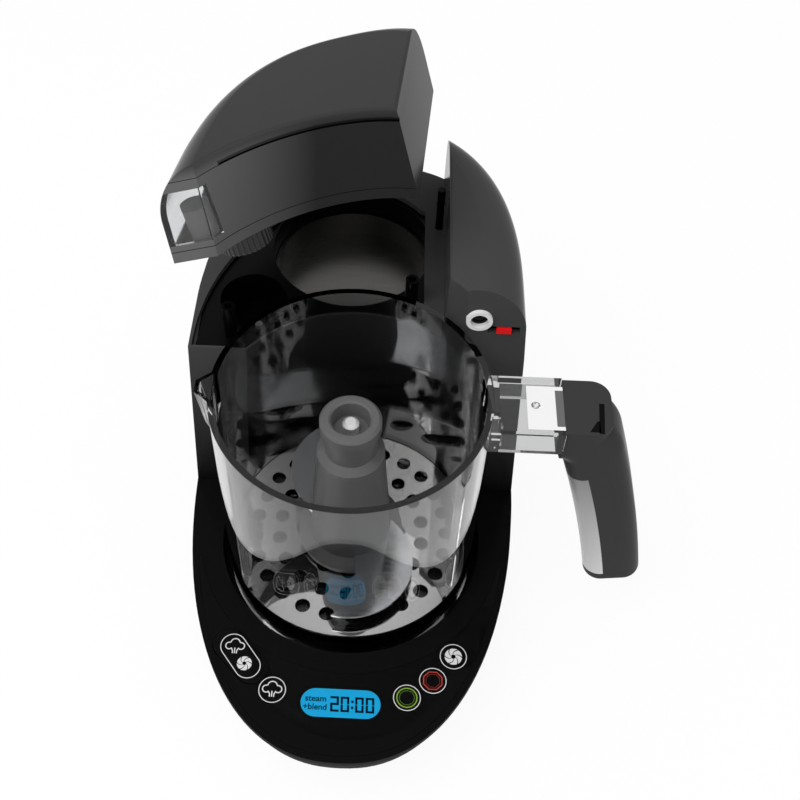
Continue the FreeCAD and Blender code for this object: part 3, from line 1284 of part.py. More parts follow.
keep("handle_grip", shaped("handle_grip", make_grip()))
keep("grip_inlay", shaped("grip_inlay", make_inlay()))
head_foot = Vector(size("screw_x"), 0, size("bracket_top"))
screw_head = Part.makeCylinder(size("handle_screw_head"), size("handle_screw_shank"), head_foot)
screw_shank = Part.makeCylinder(size("handle_screw_shank"), size("handle_screw_length"),
                                head_foot + Vector(0, 0, 1), Vector(0, 0, -1))
keep("handle_screw", shaped("handle_screw", screw_head.fuse(screw_shank).removeSplitter()))

# Blade
hub_points = [
    ("spindle_radius", "hub_foot"),
    ("hub_flange", "hub_foot"),
    ("hub_flange", "hub_foot + hub_flange_thick * 0.5"),
    ("hub_root", "hub_foot + hub_flange_thick"),
    ("hub_shoulder", "hub_shoulder_height - 3"),
    ("hub_shoulder", "hub_shoulder_height"),
    ("hub_neck", "hub_shoulder_height + 3"),
    ("hub_neck", "hub_top - hub_ring_height - 2"),
    ("hub_ring", "hub_top - hub_ring_height"),
    ("hub_ring", "hub_top - 1.5"),
    ("hub_ring - 1.5", "hub_top"),
    ("hub_mouth + 1", "hub_top"),
    ("hub_mouth", "hub_top - 1"),
    ("hub_mouth - 1", "hub_top - hub_bore"),
    ("spindle_radius", "hub_top - hub_bore"),
    ("spindle_radius", "hub_top - hub_bore - hub_wall"),
    ("hub_neck - hub_wall", "hub_top - hub_bore - hub_wall"),
    ("hub_neck - hub_wall", "hub_shoulder_height + 1"),
    ("hub_shoulder - hub_wall", "hub_shoulder_height - 3"),
    ("hub_root - hub_wall", "hub_foot + hub_flange_thick + 6"),
    ("spindle_radius", "hub_foot + hub_flange_thick + 6"),
]
keep("blade_hub", turned("blade_hub", hub_points))
spindle_points = [
    ("0", "bowl_floor - 2.5"),
    ("spindle_radius", "bowl_floor - 2.5"),
    ("spindle_radius", "hub_top - 4"),
    ("spindle_radius - 1.5", "hub_top - 2.5"),
    ("0", "hub_top - 2.5"),
]
keep("blade_spindle", turned("blade_spindle", spindle_points))
socket_block = cylinder("socket_block", "socket_radius", "bowl_floor - 0.3 - dog_bottom", z="dog_bottom")
socket_room = hexagon("socket_room", "dog_radius + 0.4", "dog_height + 1", z="dog_bottom - 0.5")
socket_bore = cylinder("socket_bore", "spindle_radius", "20", z="bowl_floor - 2.5")
keep("spindle_socket", cut("spindle_socket", socket_block, [socket_room, socket_bore]))


def make_blade(bottom, heading):
    """A swept crescent of sheet steel from the hub to the tip, with a sharp leading edge."""
    inner = size("hub_root") - 3
    tip = size("blade_tip")
    top = bottom + size("blade_thick")

    def at(radius, degrees):
        turn = math.radians(degrees)
        return Vector(radius * math.cos(turn), radius * math.sin(turn), bottom)
    root_back = at(inner, 50)
    root_front = at(inner, -50)
    point = at(tip, -62)
    edges = [
        Part.Arc(root_back, at((inner + tip) / 2 + 6, -6), point).toShape(),
        Part.Arc(point, at((inner + tip) / 2 - 6, -48), root_front).toShape(),
        Part.makeLine(root_front, root_back),
    ]
    wing = Part.Face(Part.Wire(edges)).extrude(Vector(0, 0, top - bottom))
    wing.rotate(Vector(0, 0, 0), Vector(0, 0, 1), heading)
    return wing


def hub_core(bottom, top):
    """The hub's outside between two heights, which a blade is cut to fit."""
    low = size("hub_foot") + size("hub_flange_thick")
    high = size("hub_shoulder_height") - 3
    slope = (size("hub_shoulder") - size("hub_root")) / (high - low)
    wide = size("hub_root") + slope * (bottom - low)
    narrow = size("hub_root") + slope * (top - low)
    return Part.makeCone(wide, narrow, top - bottom, Vector(0, 0, bottom))


blade_bottom = size("hub_foot") + size("hub_flange_thick") + 0.4
for name, lift, heading in (("lower_blade", 0.0, 325), ("upper_blade", size("blade_lift"), 145)):
    bottom = blade_bottom + lift
    wing = make_blade(bottom, heading).cut(hub_core(bottom - 0.2, bottom + size("blade_thick") + 0.2))
    keep(name, shaped(name, wing))


# Water tank, drawn in its seat
tank_low = deck + gap
tank_high = size("tower_top")
band_top = tank_low + size("tank_bottom_thick")
lid_bottom = tank_high - size("tank_lid_thick")


def tank_solid(shrink, bottom, top):
    """The tank's outside between two heights, drawn in on every side by a wall."""
    inset = size("tank_gap") + shrink
    solid = tower_solid(inset, bottom, top, size("tank_ledge")).common(behind_wall(inset))
    solid = solid.cut(round_bar(size("tank_front_radius") + shrink, 0, REACH))
    return solid.common(block(-REACH, size("tank_right") - shrink, -REACH, REACH, 0, REACH))


def pocket_bars(extra, bottom, top):
    """Slots for the guide posts, long enough for the tank's slanting way out."""
    bars = []
    radius = size("post_radius") + size("post_gap") + extra
    for place in POSTS:
        far = place - slip(place, post_top - deck)
        bars.append(long_bar(place.x, place.y, far.x, far.y, radius, bottom, top + extra))
    return bars


def make_tank_bottom():
    low = tank_solid(0, tank_low, band_top)
    skin = size("tank_wall") * 0.6
    pocket_top = post_top + size("tank_bottom_thick") / 2
    inside = tank_solid(size("tank_wall") + gap, tank_low, lid_bottom)
    for bar in pocket_bars(skin, tank_low, pocket_top):
        low = low.fuse(bar.common(inside))
    for bar in pocket_bars(0, 0, pocket_top):
        low = low.cut(bar)
    collar = size("cap_radius") - gap
    low = low.fuse(round_bar(collar, tank_low - size("collar_drop"), band_top, socket.x, socket.y))
    low = low.fuse(round_bar(size("neck_radius"), tank_low - size("neck_drop"), band_top, socket.x, socket.y))
    bore = size("neck_radius") - size("neck_wall")
    return low.cut(round_bar(bore, 0, REACH, socket.x, socket.y)).removeSplitter()


def window_room():
    low = band_top + size("window_low")
    high = lid_bottom - size("window_high")
    return block(-REACH, size("window_right"), 0, size("window_back"), low, high)


def make_tank_lid():
    lid = tank_solid(0, lid_bottom, tank_high).cut(flared_bar(size("tank_front_radius"), tank_high))
    lid = lid.common(round_side(size("tank_right"), -1, tank_high))
    groove_back = size("tank_front_radius") + size("groove_deep")
    groove = round_bar(groove_back, lid_bottom, lid_bottom + size("groove_height"))
    return lid.cut(groove.common(block(size("groove_left"), REACH, 0, REACH, 0, REACH)))


tank_shell = tank_solid(0, band_top, lid_bottom)
tank_shell = tank_shell.cut(tank_solid(size("tank_wall"), band_top, lid_bottom))
keep("tank_body", shaped("tank_body", tank_shell.cut(window_room())), True)
keep("tank_window", shaped("tank_window", tank_shell.common(window_room())), True)
keep("tank_bottom", shaped("tank_bottom", make_tank_bottom()), True)
keep("tank_lid", shaped("tank_lid", make_tank_lid()), True)
cap_bottom = tank_low - size("neck_drop") - size("cap_floor") - size("cap_room")
cap_inside = cap_bottom + size("cap_floor")


def make_cap():
    """A ribbed screw cap under the neck, with a hole for the valve's stem."""
    rib = size("cap_rib")
    top = cap_bottom + size("cap_height")
    cap = round_bar(size("cap_radius") - rib * 0.6, cap_bottom, top, socket.x, socket.y)
    rib_count = int(2 * math.pi * size("cap_radius") / (3 * rib))
    for step in range(rib_count):
        turn = 2 * math.pi * step / rib_count
        place = socket + Vector(math.cos(turn), math.sin(turn), 0) * (size("cap_radius") - rib)
        cap = cap.fuse(round_bar(rib, cap_bottom, top, place.x, place.y))
    cap = cap.cut(round_bar(size("neck_radius") + gap, cap_inside, REACH, socket.x, socket.y))
    hole = size("plunger_radius") + size("run_gap")
    return cap.cut(round_bar(hole, 0, REACH, socket.x, socket.y)).removeSplitter()


keep("tank_cap", shaped("tank_cap", make_cap()), True)
gasket_top = cap_inside + size("cap_room") - gap / 2
gasket = round_bar(size("neck_radius"), cap_inside, gasket_top, socket.x, socket.y)
gasket = gasket.cut(round_bar(size("neck_radius") - size("neck_wall"), 0, REACH, socket.x, socket.y))
keep("cap_gasket", shaped("cap_gasket", gasket), True)
flange_bottom = cap_inside + gap
flange_top = flange_bottom + size("cap_room") + gap
spring_foot = flange_top + size("spring_wire") + gap / 2
SPRING_TURNS = 5
spring_top = spring_foot + SPRING_TURNS * size("spring_pitch")
stem_top = cap_inside + size("cage_height") - size("cap_floor") - wall
stem = round_bar(size("plunger_radius"), cap_bottom - size("cap_floor"), stem_top, socket.x, socket.y)
flange_edge = size("plunger_radius") + size("plunger_flange")
flange = round_bar(flange_edge, flange_bottom, flange_top, socket.x, socket.y)
keep("valve_plunger", shaped("valve_plunger", stem.fuse(flange).removeSplitter()), True)


def make_spring():
    """The valve's coil, between the plunger's flange and the cage."""
    radius = size("plunger_radius") + size("spring_gap")
    helix = Part.makeHelix(size("spring_pitch"), spring_top - spring_foot, radius)
    start = Part.Circle(Vector(radius, 0, 0), Vector(0, 1, 0.12), size("spring_wire"))
    coil = Part.Wire(helix).makePipeShell([Part.Wire([start.toShape()])], True, True)
    coil.translate(socket + Vector(0, 0, spring_foot))
    return coil


keep("valve_spring", shaped("valve_spring", make_spring()), True)


def make_cage():
    """A windowed cup over the valve that the spring pushes against."""
    outer = size("neck_radius") - size("neck_wall") - gap
    top = cap_inside + size("cage_height")
    post = size("cap_floor") + 1
    cage = round_bar(outer, cap_inside, top, socket.x, socket.y)
    cage = cage.cut(round_bar(outer - 1, 0, top - 1, socket.x, socket.y))
    cage = cage.cut(round_bar(size("plunger_radius") + 1, 0, REACH, socket.x, socket.y))
    width = outer * 0.6
    for along, across in ((REACH, width), (width, REACH)):
        window = block(-along, along, -across, across, cap_inside + post, top - post)
        window.translate(socket)
        cage = cage.cut(window)
    return cage


keep("valve_cage", shaped("valve_cage", make_cage()), True)

document.recompute()

# The tank's pieces swing out of the seat, then everything moves over the origin
swing = FreeCAD.Placement(Vector(0, 0, 0), FreeCAD.Rotation(axis, -size("tank_lift")), hinge)
for label in raised:
    parts[label].Placement = swing.multiply(parts[label].Placement)

bounds = FreeCAD.BoundBox()
for thing in parts.values():
    bounds.add(thing.Shape.optimalBoundingBox())
shift = FreeCAD.Placement(Vector(-bounds.Center.x, -bounds.Center.y, 0), FreeCAD.Rotation())
for thing in parts.values():
    for name in ("x", "y"):
        thing.setExpression(f"Placement.Base.{name}", None)
    thing.Placement = shift.multiply(thing.Placement)
document.recompute()

failed = [thing.Label for thing in document.Objects if "Invalid" in thing.State or "Error" in thing.State]
for label, thing in parts.items():
    if thing.Shape.isNull() or not thing.Shape.isValid() or not thing.Shape.Solids:
        failed.append(label)
if failed:
    raise RuntimeError("not built: " + ", ".join(failed))

os.makedirs("parts", exist_ok=True)
for label, thing in parts.items():
    thing.Shape.exportStep(f"parts/{label}.step")
print("pieces", len(parts), "moved by", round(shift.Base.x, 3), round(shift.Base.y, 3))
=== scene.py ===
# %% [markdown]
# Baby food maker, dressed for a studio picture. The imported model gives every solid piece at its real
# size and place. This lesson loads it, finds the few places that everything else is measured from,
# and then adds finishes and printed details one at a time.

# %% Load the model
import math

import bpy
import numpy as np
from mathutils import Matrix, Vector


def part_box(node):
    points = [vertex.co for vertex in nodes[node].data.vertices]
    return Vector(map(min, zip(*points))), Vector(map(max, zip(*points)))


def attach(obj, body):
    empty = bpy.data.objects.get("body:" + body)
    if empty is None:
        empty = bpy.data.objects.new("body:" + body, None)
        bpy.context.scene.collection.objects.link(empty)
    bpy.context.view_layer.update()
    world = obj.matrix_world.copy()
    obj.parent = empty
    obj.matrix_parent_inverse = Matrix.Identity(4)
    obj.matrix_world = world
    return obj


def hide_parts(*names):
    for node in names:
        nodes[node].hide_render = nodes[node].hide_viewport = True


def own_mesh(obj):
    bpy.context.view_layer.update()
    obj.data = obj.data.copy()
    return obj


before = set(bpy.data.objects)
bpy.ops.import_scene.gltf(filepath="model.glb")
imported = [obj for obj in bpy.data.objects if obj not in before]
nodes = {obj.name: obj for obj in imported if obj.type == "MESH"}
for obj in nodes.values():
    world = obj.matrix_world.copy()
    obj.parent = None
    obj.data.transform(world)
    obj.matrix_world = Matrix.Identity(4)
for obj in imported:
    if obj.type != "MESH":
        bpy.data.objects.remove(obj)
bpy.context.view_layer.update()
scene = bpy.context.scene
MM = 0.001


def middle_of(node):
    low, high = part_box(node)
    return (low + high) / 2


bowl_axis = middle_of("bowl_bush")
axis_foot = np.array([*bowl_axis[:2], 0])
rim_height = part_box("bowl")[1].z
panel_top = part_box("control_panel")[1].z
print("bowl axis", bowl_axis[:2], "rim", rim_height, "panel", panel_top)

# %% [markdown]
# The picture was taken from the front and well above, a little to the handle's side. A camera is two
# points and a lens: the point it looks at, on the bowl's axis just under the rim, and the distance
# and angles it stands off. The object sits left of the picture's middle, which is a lens shift.

# %% Camera
LOOK_HEIGHT = 156.42 * MM
CAMERA_DISTANCE = 502.98 * MM
CAMERA_TURN = math.radians(3.0)
CAMERA_RISE = math.radians(51.53)
PICTURE_SIZE = 800
BOWL_AXIS_PIXEL = 350.77
LENS_MM = 50.0
SENSOR_MM = 36.0
NEAREST_SEEN = 0.01

look_at = Vector((bowl_axis.x, bowl_axis.y, LOOK_HEIGHT))
away = Vector((math.sin(CAMERA_TURN) * math.cos(CAMERA_RISE),
               -math.cos(CAMERA_TURN) * math.cos(CAMERA_RISE),
               math.sin(CAMERA_RISE)))
camera_data = bpy.data.cameras.new("camera")
camera_data.lens = LENS_MM
camera_data.sensor_width = SENSOR_MM
camera_data.shift_x = (PICTURE_SIZE / 2 - BOWL_AXIS_PIXEL) / PICTURE_SIZE
camera_data.clip_start = NEAREST_SEEN
camera = bpy.data.objects.new("camera", camera_data)
camera.location = look_at + away * CAMERA_DISTANCE
camera.rotation_euler = (-away).to_track_quat("-Z", "Y").to_euler()
scene.collection.objects.link(camera)
scene.camera = camera
scene.view_settings.view_transform = "Standard"
print("camera at", camera.location[:])

# %% [markdown]
# A product studio is a white tent: light comes from everywhere, and gloss shows white all round. The
# world is that tent. What the camera, gloss and glass see of it is plain white, and what lights the
# matt surfaces is a little weaker, with one wide lamp above to give the forms a soft direction.

# %% Studio
DOME_STRENGTH = 0.72
LAMP_WATTS = 9.0
LAMP_SIZE = 0.9
LAMP_OFFSET = Vector((-0.45, -0.35, 1.1))
WHITE = (1, 1, 1, 1)
FLOOR_REACH = 6.0
FLOOR_GREY = (0.93, 0.93, 0.93, 1)
FLOOR_GLOW = 0.93


def nodes_of(tree):
    tree.nodes.clear()
    return tree.nodes, tree.links


def light_path_white(made, links):
    """1 for rays from the camera, from gloss and through glass, 0 for the light on matt surfaces."""
    path = made.new("ShaderNodeLightPath")
    first = made.new("ShaderNodeMath")
    first.operation = "MAXIMUM"
    links.new(path.outputs["Is Camera Ray"], first.inputs[0])
    links.new(path.outputs["Is Glossy Ray"], first.inputs[1])
    second = made.new("ShaderNodeMath")
    second.operation = "MAXIMUM"
    links.new(first.outputs[0], second.inputs[0])
    links.new(path.outputs["Is Transmission Ray"], second.inputs[1])
    return second.outputs[0]


world = bpy.data.worlds.new("studio")
scene.world = world
world.use_nodes = True
made, links = nodes_of(world.node_tree)
seen = made.new("ShaderNodeBackground")
seen.inputs["Strength"].default_value = 1.0
seen.inputs["Color"].default_value = WHITE
lit = made.new("ShaderNodeBackground")
lit.inputs["Strength"].default_value = DOME_STRENGTH
lit.inputs["Color"].default_value = WHITE
mix = made.new("ShaderNodeMixShader")
links.new(light_path_white(made, links), mix.inputs["Fac"])
links.new(lit.outputs[0], mix.inputs[1])
links.new(seen.outputs[0], mix.inputs[2])
out = made.new("ShaderNodeOutputWorld")
links.new(mix.outputs[0], out.inputs["Surface"])

lamp_data = bpy.data.lights.new("overhead", "AREA")
lamp_data.energy = LAMP_WATTS
lamp_data.shape = "DISK"
lamp_data.size = LAMP_SIZE
lamp = bpy.data.objects.new("overhead", lamp_data)
lamp.location = look_at + LAMP_OFFSET
lamp.rotation_euler = (lamp.location - look_at).to_track_quat("Z", "Y").to_euler()
lamp.visible_glossy = False
scene.collection.objects.link(lamp)

floor_mesh = bpy.data.meshes.new("floor")
floor_corners = np.array([(-1, -1, 0), (1, -1, 0), (1, 1, 0), (-1, 1, 0)]) * FLOOR_REACH
floor_mesh.from_pydata(floor_corners.tolist(), [], [(0, 1, 2, 3)])
floor = bpy.data.objects.new("floor", floor_mesh)
scene.collection.objects.link(floor)
floor_paint = bpy.data.materials.new("floor_white")
floor_paint.use_nodes = True
made, links = nodes_of(floor_paint.node_tree)
matt = made.new("ShaderNodeBsdfDiffuse")
matt.inputs["Color"].default_value = FLOOR_GREY
glow = made.new("ShaderNodeEmission")
glow.inputs["Strength"].default_value = 1.0
share = made.new("ShaderNodeMath")
share.operation = "MULTIPLY"
share.inputs[1].default_value = FLOOR_GLOW
links.new(light_path_white(made, links), share.inputs[0])
mix = made.new("ShaderNodeMixShader")
links.new(share.outputs[0], mix.inputs["Fac"])
links.new(matt.outputs[0], mix.inputs[1])
links.new(glow.outputs[0], mix.inputs[2])
out = made.new("ShaderNodeOutputMaterial")
links.new(mix.outputs[0], out.inputs["Surface"])
floor_mesh.materials.append(floor_paint)
print("studio ready")

# %% [markdown]
# Moulded plastic is never perfectly even. Under a lens it has a slow waviness, which bends the
# reflections, and a fine grain, which breaks up the gloss. Both come from noise in the object's own
# coordinates, and every plastic on the machine uses the same group with its own amounts.

# %% Moulded surface group
GRAIN_SHARE = 0.15


def new_group(name, inputs, outputs):
    group = bpy.data.node_groups.new(name, "ShaderNodeTree")
    for label, value in inputs:
        socket = group.interface.new_socket(label, in_out="INPUT", socket_type="NodeSocketFloat")
        socket.default_value = value
    for label in outputs:
        group.interface.new_socket(label, in_out="OUTPUT", socket_type="NodeSocketFloat")
    return group, group.nodes.new("NodeGroupInput"), group.nodes.new("NodeGroupOutput")


def noise(tree, source, scale, detail):
    texture = tree.nodes.new("ShaderNodeTexNoise")
    texture.inputs["Detail"].default_value = detail
    tree.links.new(source, texture.inputs["Vector"])
    if isinstance(scale, float):
        texture.inputs["Scale"].default_value = scale
    else:
        tree.links.new(scale, texture.inputs["Scale"])
    return texture.outputs["Fac"]


def arithmetic(tree, operation, first, second):
    node = tree.nodes.new("ShaderNodeMath")
    node.operation = operation
    for socket, value in zip(node.inputs, (first, second)):
        if isinstance(value, (int, float)):
            socket.default_value = value
        else:
            tree.links.new(value, socket)
    return node.outputs[0]


moulded, group_in, group_out = new_group(
    "moulded_surface",
    [("Roughness", 0.2), ("Roughness Spread", 0.05), ("Grain Scale", 900.0), ("Wave Scale", 18.0)],
    ["Roughness", "Height"])
coordinates = moulded.nodes.new("ShaderNodeTexCoord").outputs["Object"]
grain = noise(moulded, coordinates, group_in.outputs["Grain Scale"], 2.0)
wave = noise(moulded, coordinates, group_in.outputs["Wave Scale"], 1.0)
spread = arithmetic(moulded, "MULTIPLY", arithmetic(moulded, "SUBTRACT", grain, 0.5),
                    group_in.outputs["Roughness Spread"])
moulded.links.new(arithmetic(moulded, "ADD", group_in.outputs["Roughness"], spread),
                  group_out.inputs["Roughness"])
moulded.links.new(arithmetic(moulded, "ADD", arithmetic(moulded, "MULTIPLY", grain, GRAIN_SHARE), wave),
                  group_out.inputs["Height"])
print("group", moulded.name)

# %% [markdown]
# A finish is then a Principled shader with its colour, fed by that group. The plain numbers, such as
# the refractive index, are written on the shader itself.

# %% Plastic finishes
GRAIN_DEPTH = 0.0004


def shader_input(tree, label):
    return tree.nodes["Principled BSDF"].inputs[label]


def grey(level):
    return (level, level, level)


def plastic(name, colour, roughness, spread=0.05, grain=900.0, wave=18.0, bump=0.02, index=1.5, shine=0.5):
    material = bpy.data.materials.new(name)
    material.use_nodes = True
    tree = material.node_tree
    shader = tree.nodes["Principled BSDF"]
    shader.inputs["Base Color"].default_value = (*colour, 1)
    shader.inputs["IOR"].default_value = index
    shader.inputs["Specular IOR Level"].default_value = shine
    surface = tree.nodes.new("ShaderNodeGroup")
    surface.node_tree = moulded
    surface.inputs["Roughness"].default_value = roughness
    surface.inputs["Roughness Spread"].default_value = spread
    surface.inputs["Grain Scale"].default_value = grain
    surface.inputs["Wave Scale"].default_value = wave
    tree.links.new(surface.outputs["Roughness"], shader.inputs["Roughness"])
    bumped = tree.nodes.new("ShaderNodeBump")
    bumped.inputs["Strength"].default_value = bump
    bumped.inputs["Distance"].default_value = GRAIN_DEPTH
    tree.links.new(surface.outputs["Height"], bumped.inputs["Height"])
    tree.links.new(bumped.outputs["Normal"], shader.inputs["Normal"])
    return material


panel_black = plastic("panel_black", (0.003, 0.0031, 0.0031), 0.04, shine=0.035)
grip_black = plastic("grip_black", grey(0.041), 0.3, spread=0.04, bump=0.008, shine=0.02)
cap_black = plastic("cap_black", grey(0.032), 0.2, shine=0.3)
satin_black = plastic("satin_black", grey(0.016), 0.34, spread=0.1, shine=0.05)
# The seat's near-black, deeper than the other blacks, is black plastic with painted shade from the tank
# above it.
seat_black_painted_shade = plastic("seat_black_painted_shade", grey(0.0015), 0.3, spread=0.06, shine=0.05)
hub_grey = plastic("hub_grey", (0.105, 0.105, 0.107), 0.42, spread=0.1)
part_grey = plastic("part_grey", (0.22, 0.22, 0.225), 0.45)
silicone_white = plastic("silicone_white", (0.83, 0.83, 0.82), 0.5)
red_plastic = plastic("red_plastic", (0.80, 0.008, 0.010), 0.25, shine=0.05)
board_green = plastic("board_green", (0.03, 0.18, 0.07), 0.4)
rubber_black = plastic("rubber_black", grey(0.02), 0.7, spread=0.2)
print("plastics ready")

# %% [markdown]
# Three finishes change from place to place, and most of that change is painted light and shade. The
# housing darkens toward its foot in painted shade, as it would see less of the tent there, and its rim
# outside the panel is more matt and a paler grey that paints the floor's reflection. The water tank is
# glued from a lid, a body and a bottom, and each joint shows as a hairline all round. A line is where the
# height along the tank's own upright axis comes within a hair of the joint's height. The tank's front is
# painted paler to the left as a painted highlight and darker to the right as painted shade, with its top
# in a grey of its own for the light it takes. The grip's inlay is painted paler toward its foot as a
# painted highlight.

# %% Housing, tank and inlay finishes, with painted light and shade
UP = (0, 0, 1)
ACROSS = (1, 0, 0)
# Painted light and shade: the greys of the housing's foot and top, the inlay's foot and top, and the
# tank's top, left and right.
HOUSING_FOOT_PAINTED_SHADE_GREY, HOUSING_TOP_PAINTED_LIGHT_GREY = 0.005, 0.056
INLAY_FOOT_PAINTED_LIGHT_GREY, INLAY_TOP_PAINTED_SHADE_GREY = 0.64, 0.20
TANK_TOP_PAINTED_LIGHT_GREY = 0.040
TANK_LEFT_PAINTED_LIGHT_GREY, TANK_RIGHT_PAINTED_SHADE_GREY = 0.115, 0.020
# Where the tank front's painted highlight fades into painted shade, as shares of its width.
PAINTED_LIGHT_END, PAINTED_SHADE_END = 0.14, 0.56
TANK_UP = np.array([-0.2683, 0.2243, 0.9368])
SEAM_HALF = 0.16 * MM
SEAM_GREY = 0.0025
LIP_DROP = 0.3 * MM
LIP_REACH = 72 * MM
# The lip's paler grey is a painted reflection of the floor.
LIP_PAINTED_REFLECTION_GREY = 0.03
LIP_MATT = 0.5


def corners_of(node):
    """All corners of a node's mesh as rows of x, y, z in metres."""
    mesh = nodes[node].data
    corners = np.empty(len(mesh.vertices) * 3)
    mesh.vertices.foreach_get("co", corners)
    return corners.reshape(-1, 3)


def height_along(tree, direction):
    """How far a place lies along a direction, in the object's own coordinates."""
    along = tree.nodes.new("ShaderNodeVectorMath")
    along.operation = "DOT_PRODUCT"
    along.inputs[1].default_value = direction
    tree.links.new(tree.nodes.new("ShaderNodeTexCoord").outputs["Object"], along.inputs[0])
    return along.outputs["Value"]


def reach_from_bowl(tree):
    """How far a place lies from the bowl's axis in plan."""
    offset = tree.nodes.new("ShaderNodeVectorMath")
    offset.operation = "MULTIPLY_ADD"
    offset.inputs[1].default_value = (1, 1, 0)
    offset.inputs[2].default_value = (-bowl_axis.x, -bowl_axis.y, 0)
    tree.links.new(tree.nodes.new("ShaderNodeTexCoord").outputs["Object"], offset.inputs[0])
    length = tree.nodes.new("ShaderNodeVectorMath")
    length.operation = "LENGTH"
    tree.links.new(offset.outputs["Vector"], length.inputs[0])
    return length.outputs["Value"]


def shade_of(tree, share, first, second):
    """A colour between two, by a share from 0 to 1. Each is a grey level or another shade."""
    blend = tree.nodes.new("ShaderNodeMix")
    blend.data_type = "RGBA"
    blend.clamp_factor = True
    # The two colours are the mix node's seventh and eighth sockets, since each type has its own pair.
    for socket, shade in zip(blend.inputs[6:8], (first, second)):
        if isinstance(shade, float):
            socket.default_value = (shade, shade, shade, 1)
        else:
            tree.links.new(shade, socket)
    tree.links.new(share, blend.inputs["Factor"])
    return blend.outputs[2]


def share_between(tree, value, start, end):
    """How far a value has gone from start to end, as a share of the way."""
    return arithmetic(tree, "DIVIDE", arithmetic(tree, "SUBTRACT", value, start), end - start)


# The housing's base colour is painted light and shade: darker at the foot, lighter toward the top.
gloss_black_painted_shade = plastic("gloss_black_painted_shade", grey(HOUSING_TOP_PAINTED_LIGHT_GREY), 0.12, shine=0.01)
tree = gloss_black_painted_shade.node_tree
height = height_along(tree, UP)
share = share_between(tree, height, panel_top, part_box("upper_housing")[1].z)
housing_painted_shade = shade_of(tree, share, HOUSING_FOOT_PAINTED_SHADE_GREY, HOUSING_TOP_PAINTED_LIGHT_GREY)
# Below the panel and outside it, the rim takes a paler grey as a painted reflection of the floor, and a
# real rougher finish.
below = arithmetic(tree, "LESS_THAN", height, panel_top - LIP_DROP)
outside = arithmetic(tree, "GREATER_THAN", reach_from_bowl(tree), LIP_REACH)
on_lip = arithmetic(tree, "MULTIPLY", below, outside)
tree.links.new(shade_of(tree, on_lip, housing_painted_shade, LIP_PAINTED_REFLECTION_GREY), shader_input(tree, "Base Color"))
even = shader_input(tree, "Roughness").links[0].from_socket
extra = arithmetic(tree, "MULTIPLY", on_lip, LIP_MATT)
tree.links.new(arithmetic(tree, "ADD", even, extra), shader_input(tree, "Roughness"))

# The tank's base colour is painted light: a highlight to the front's left, shade to its right, another
# grey on top. The seam lines are its real joints.
tank_black_painted_light = plastic("tank_black_painted_light", grey(TANK_TOP_PAINTED_LIGHT_GREY), 0.12, shine=0.005)
tree = tank_black_painted_light.node_tree
body_heights = corners_of("tank_body") @ TANK_UP
tank_height = height_along(tree, TANK_UP)
low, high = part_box("tank_body")
tank_width = high.x - low.x
across = share_between(tree, height_along(tree, ACROSS),
                       low.x + PAINTED_LIGHT_END * tank_width, low.x + PAINTED_SHADE_END * tank_width)
front_painted_light = shade_of(tree, across, TANK_LEFT_PAINTED_LIGHT_GREY, TANK_RIGHT_PAINTED_SHADE_GREY)
lid_top = float((corners_of("tank_lid") @ TANK_UP).max())
above = share_between(tree, tank_height, float(body_heights.max()), lid_top)
tank_painted_light = shade_of(tree, above, front_painted_light, TANK_TOP_PAINTED_LIGHT_GREY)
clear_of = []
for seam in (body_heights.min(), body_heights.max()):
    distance = arithmetic(tree, "ABSOLUTE", arithmetic(tree, "SUBTRACT", tank_height, float(seam)), 0.0)
    clear_of.append(arithmetic(tree, "GREATER_THAN", distance, SEAM_HALF))
off_seam = arithmetic(tree, "MULTIPLY", *clear_of)
tree.links.new(shade_of(tree, off_seam, SEAM_GREY, tank_painted_light), shader_input(tree, "Base Color"))

# The inlay's base colour is painted paler toward its foot: a painted highlight.
inlay_grey_painted_light = plastic("inlay_grey_painted_light", grey(INLAY_TOP_PAINTED_SHADE_GREY), 0.25, shine=0.4)
tree = inlay_grey_painted_light.node_tree
low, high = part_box("grip_inlay")
share = share_between(tree, height_along(tree, UP), low.z, high.z)
tree.links.new(shade_of(tree, share, INLAY_FOOT_PAINTED_LIGHT_GREY, INLAY_TOP_PAINTED_SHADE_GREY), shader_input(tree, "Base Color"))
print("tank seams at", body_heights.min(), body_heights.max())

# %% [markdown]
# The bowl, the tank's level window and the handle's bracket are clear mouldings with a faint smoke in
# them. They are real solids with a real wall, so a glass shader bends light as the wall does.

# %% Clear finishes


def clear(name, colour, roughness, index):
    material = plastic(name, colour, roughness, spread=0.01, wave=30.0, bump=0.002, index=index)
    shader_input(material.node_tree, "Transmission Weight").default_value = 1.0
    return material


bowl_clear = clear("bowl_clear", (0.58, 0.585, 0.59), 0.0, 1.42)
window_clear = clear("window_clear", (0.93, 0.94, 0.95), 0.03, 1.49)
print("clear plastics ready")

# %% [markdown]
# Sheet steel carries fine lines from its polishing. Noise that is squeezed along one direction makes
# them: it varies quickly across the lines and hardly at all along them.

# %% Metal finishes
LINE_DEPTH = 0.0002


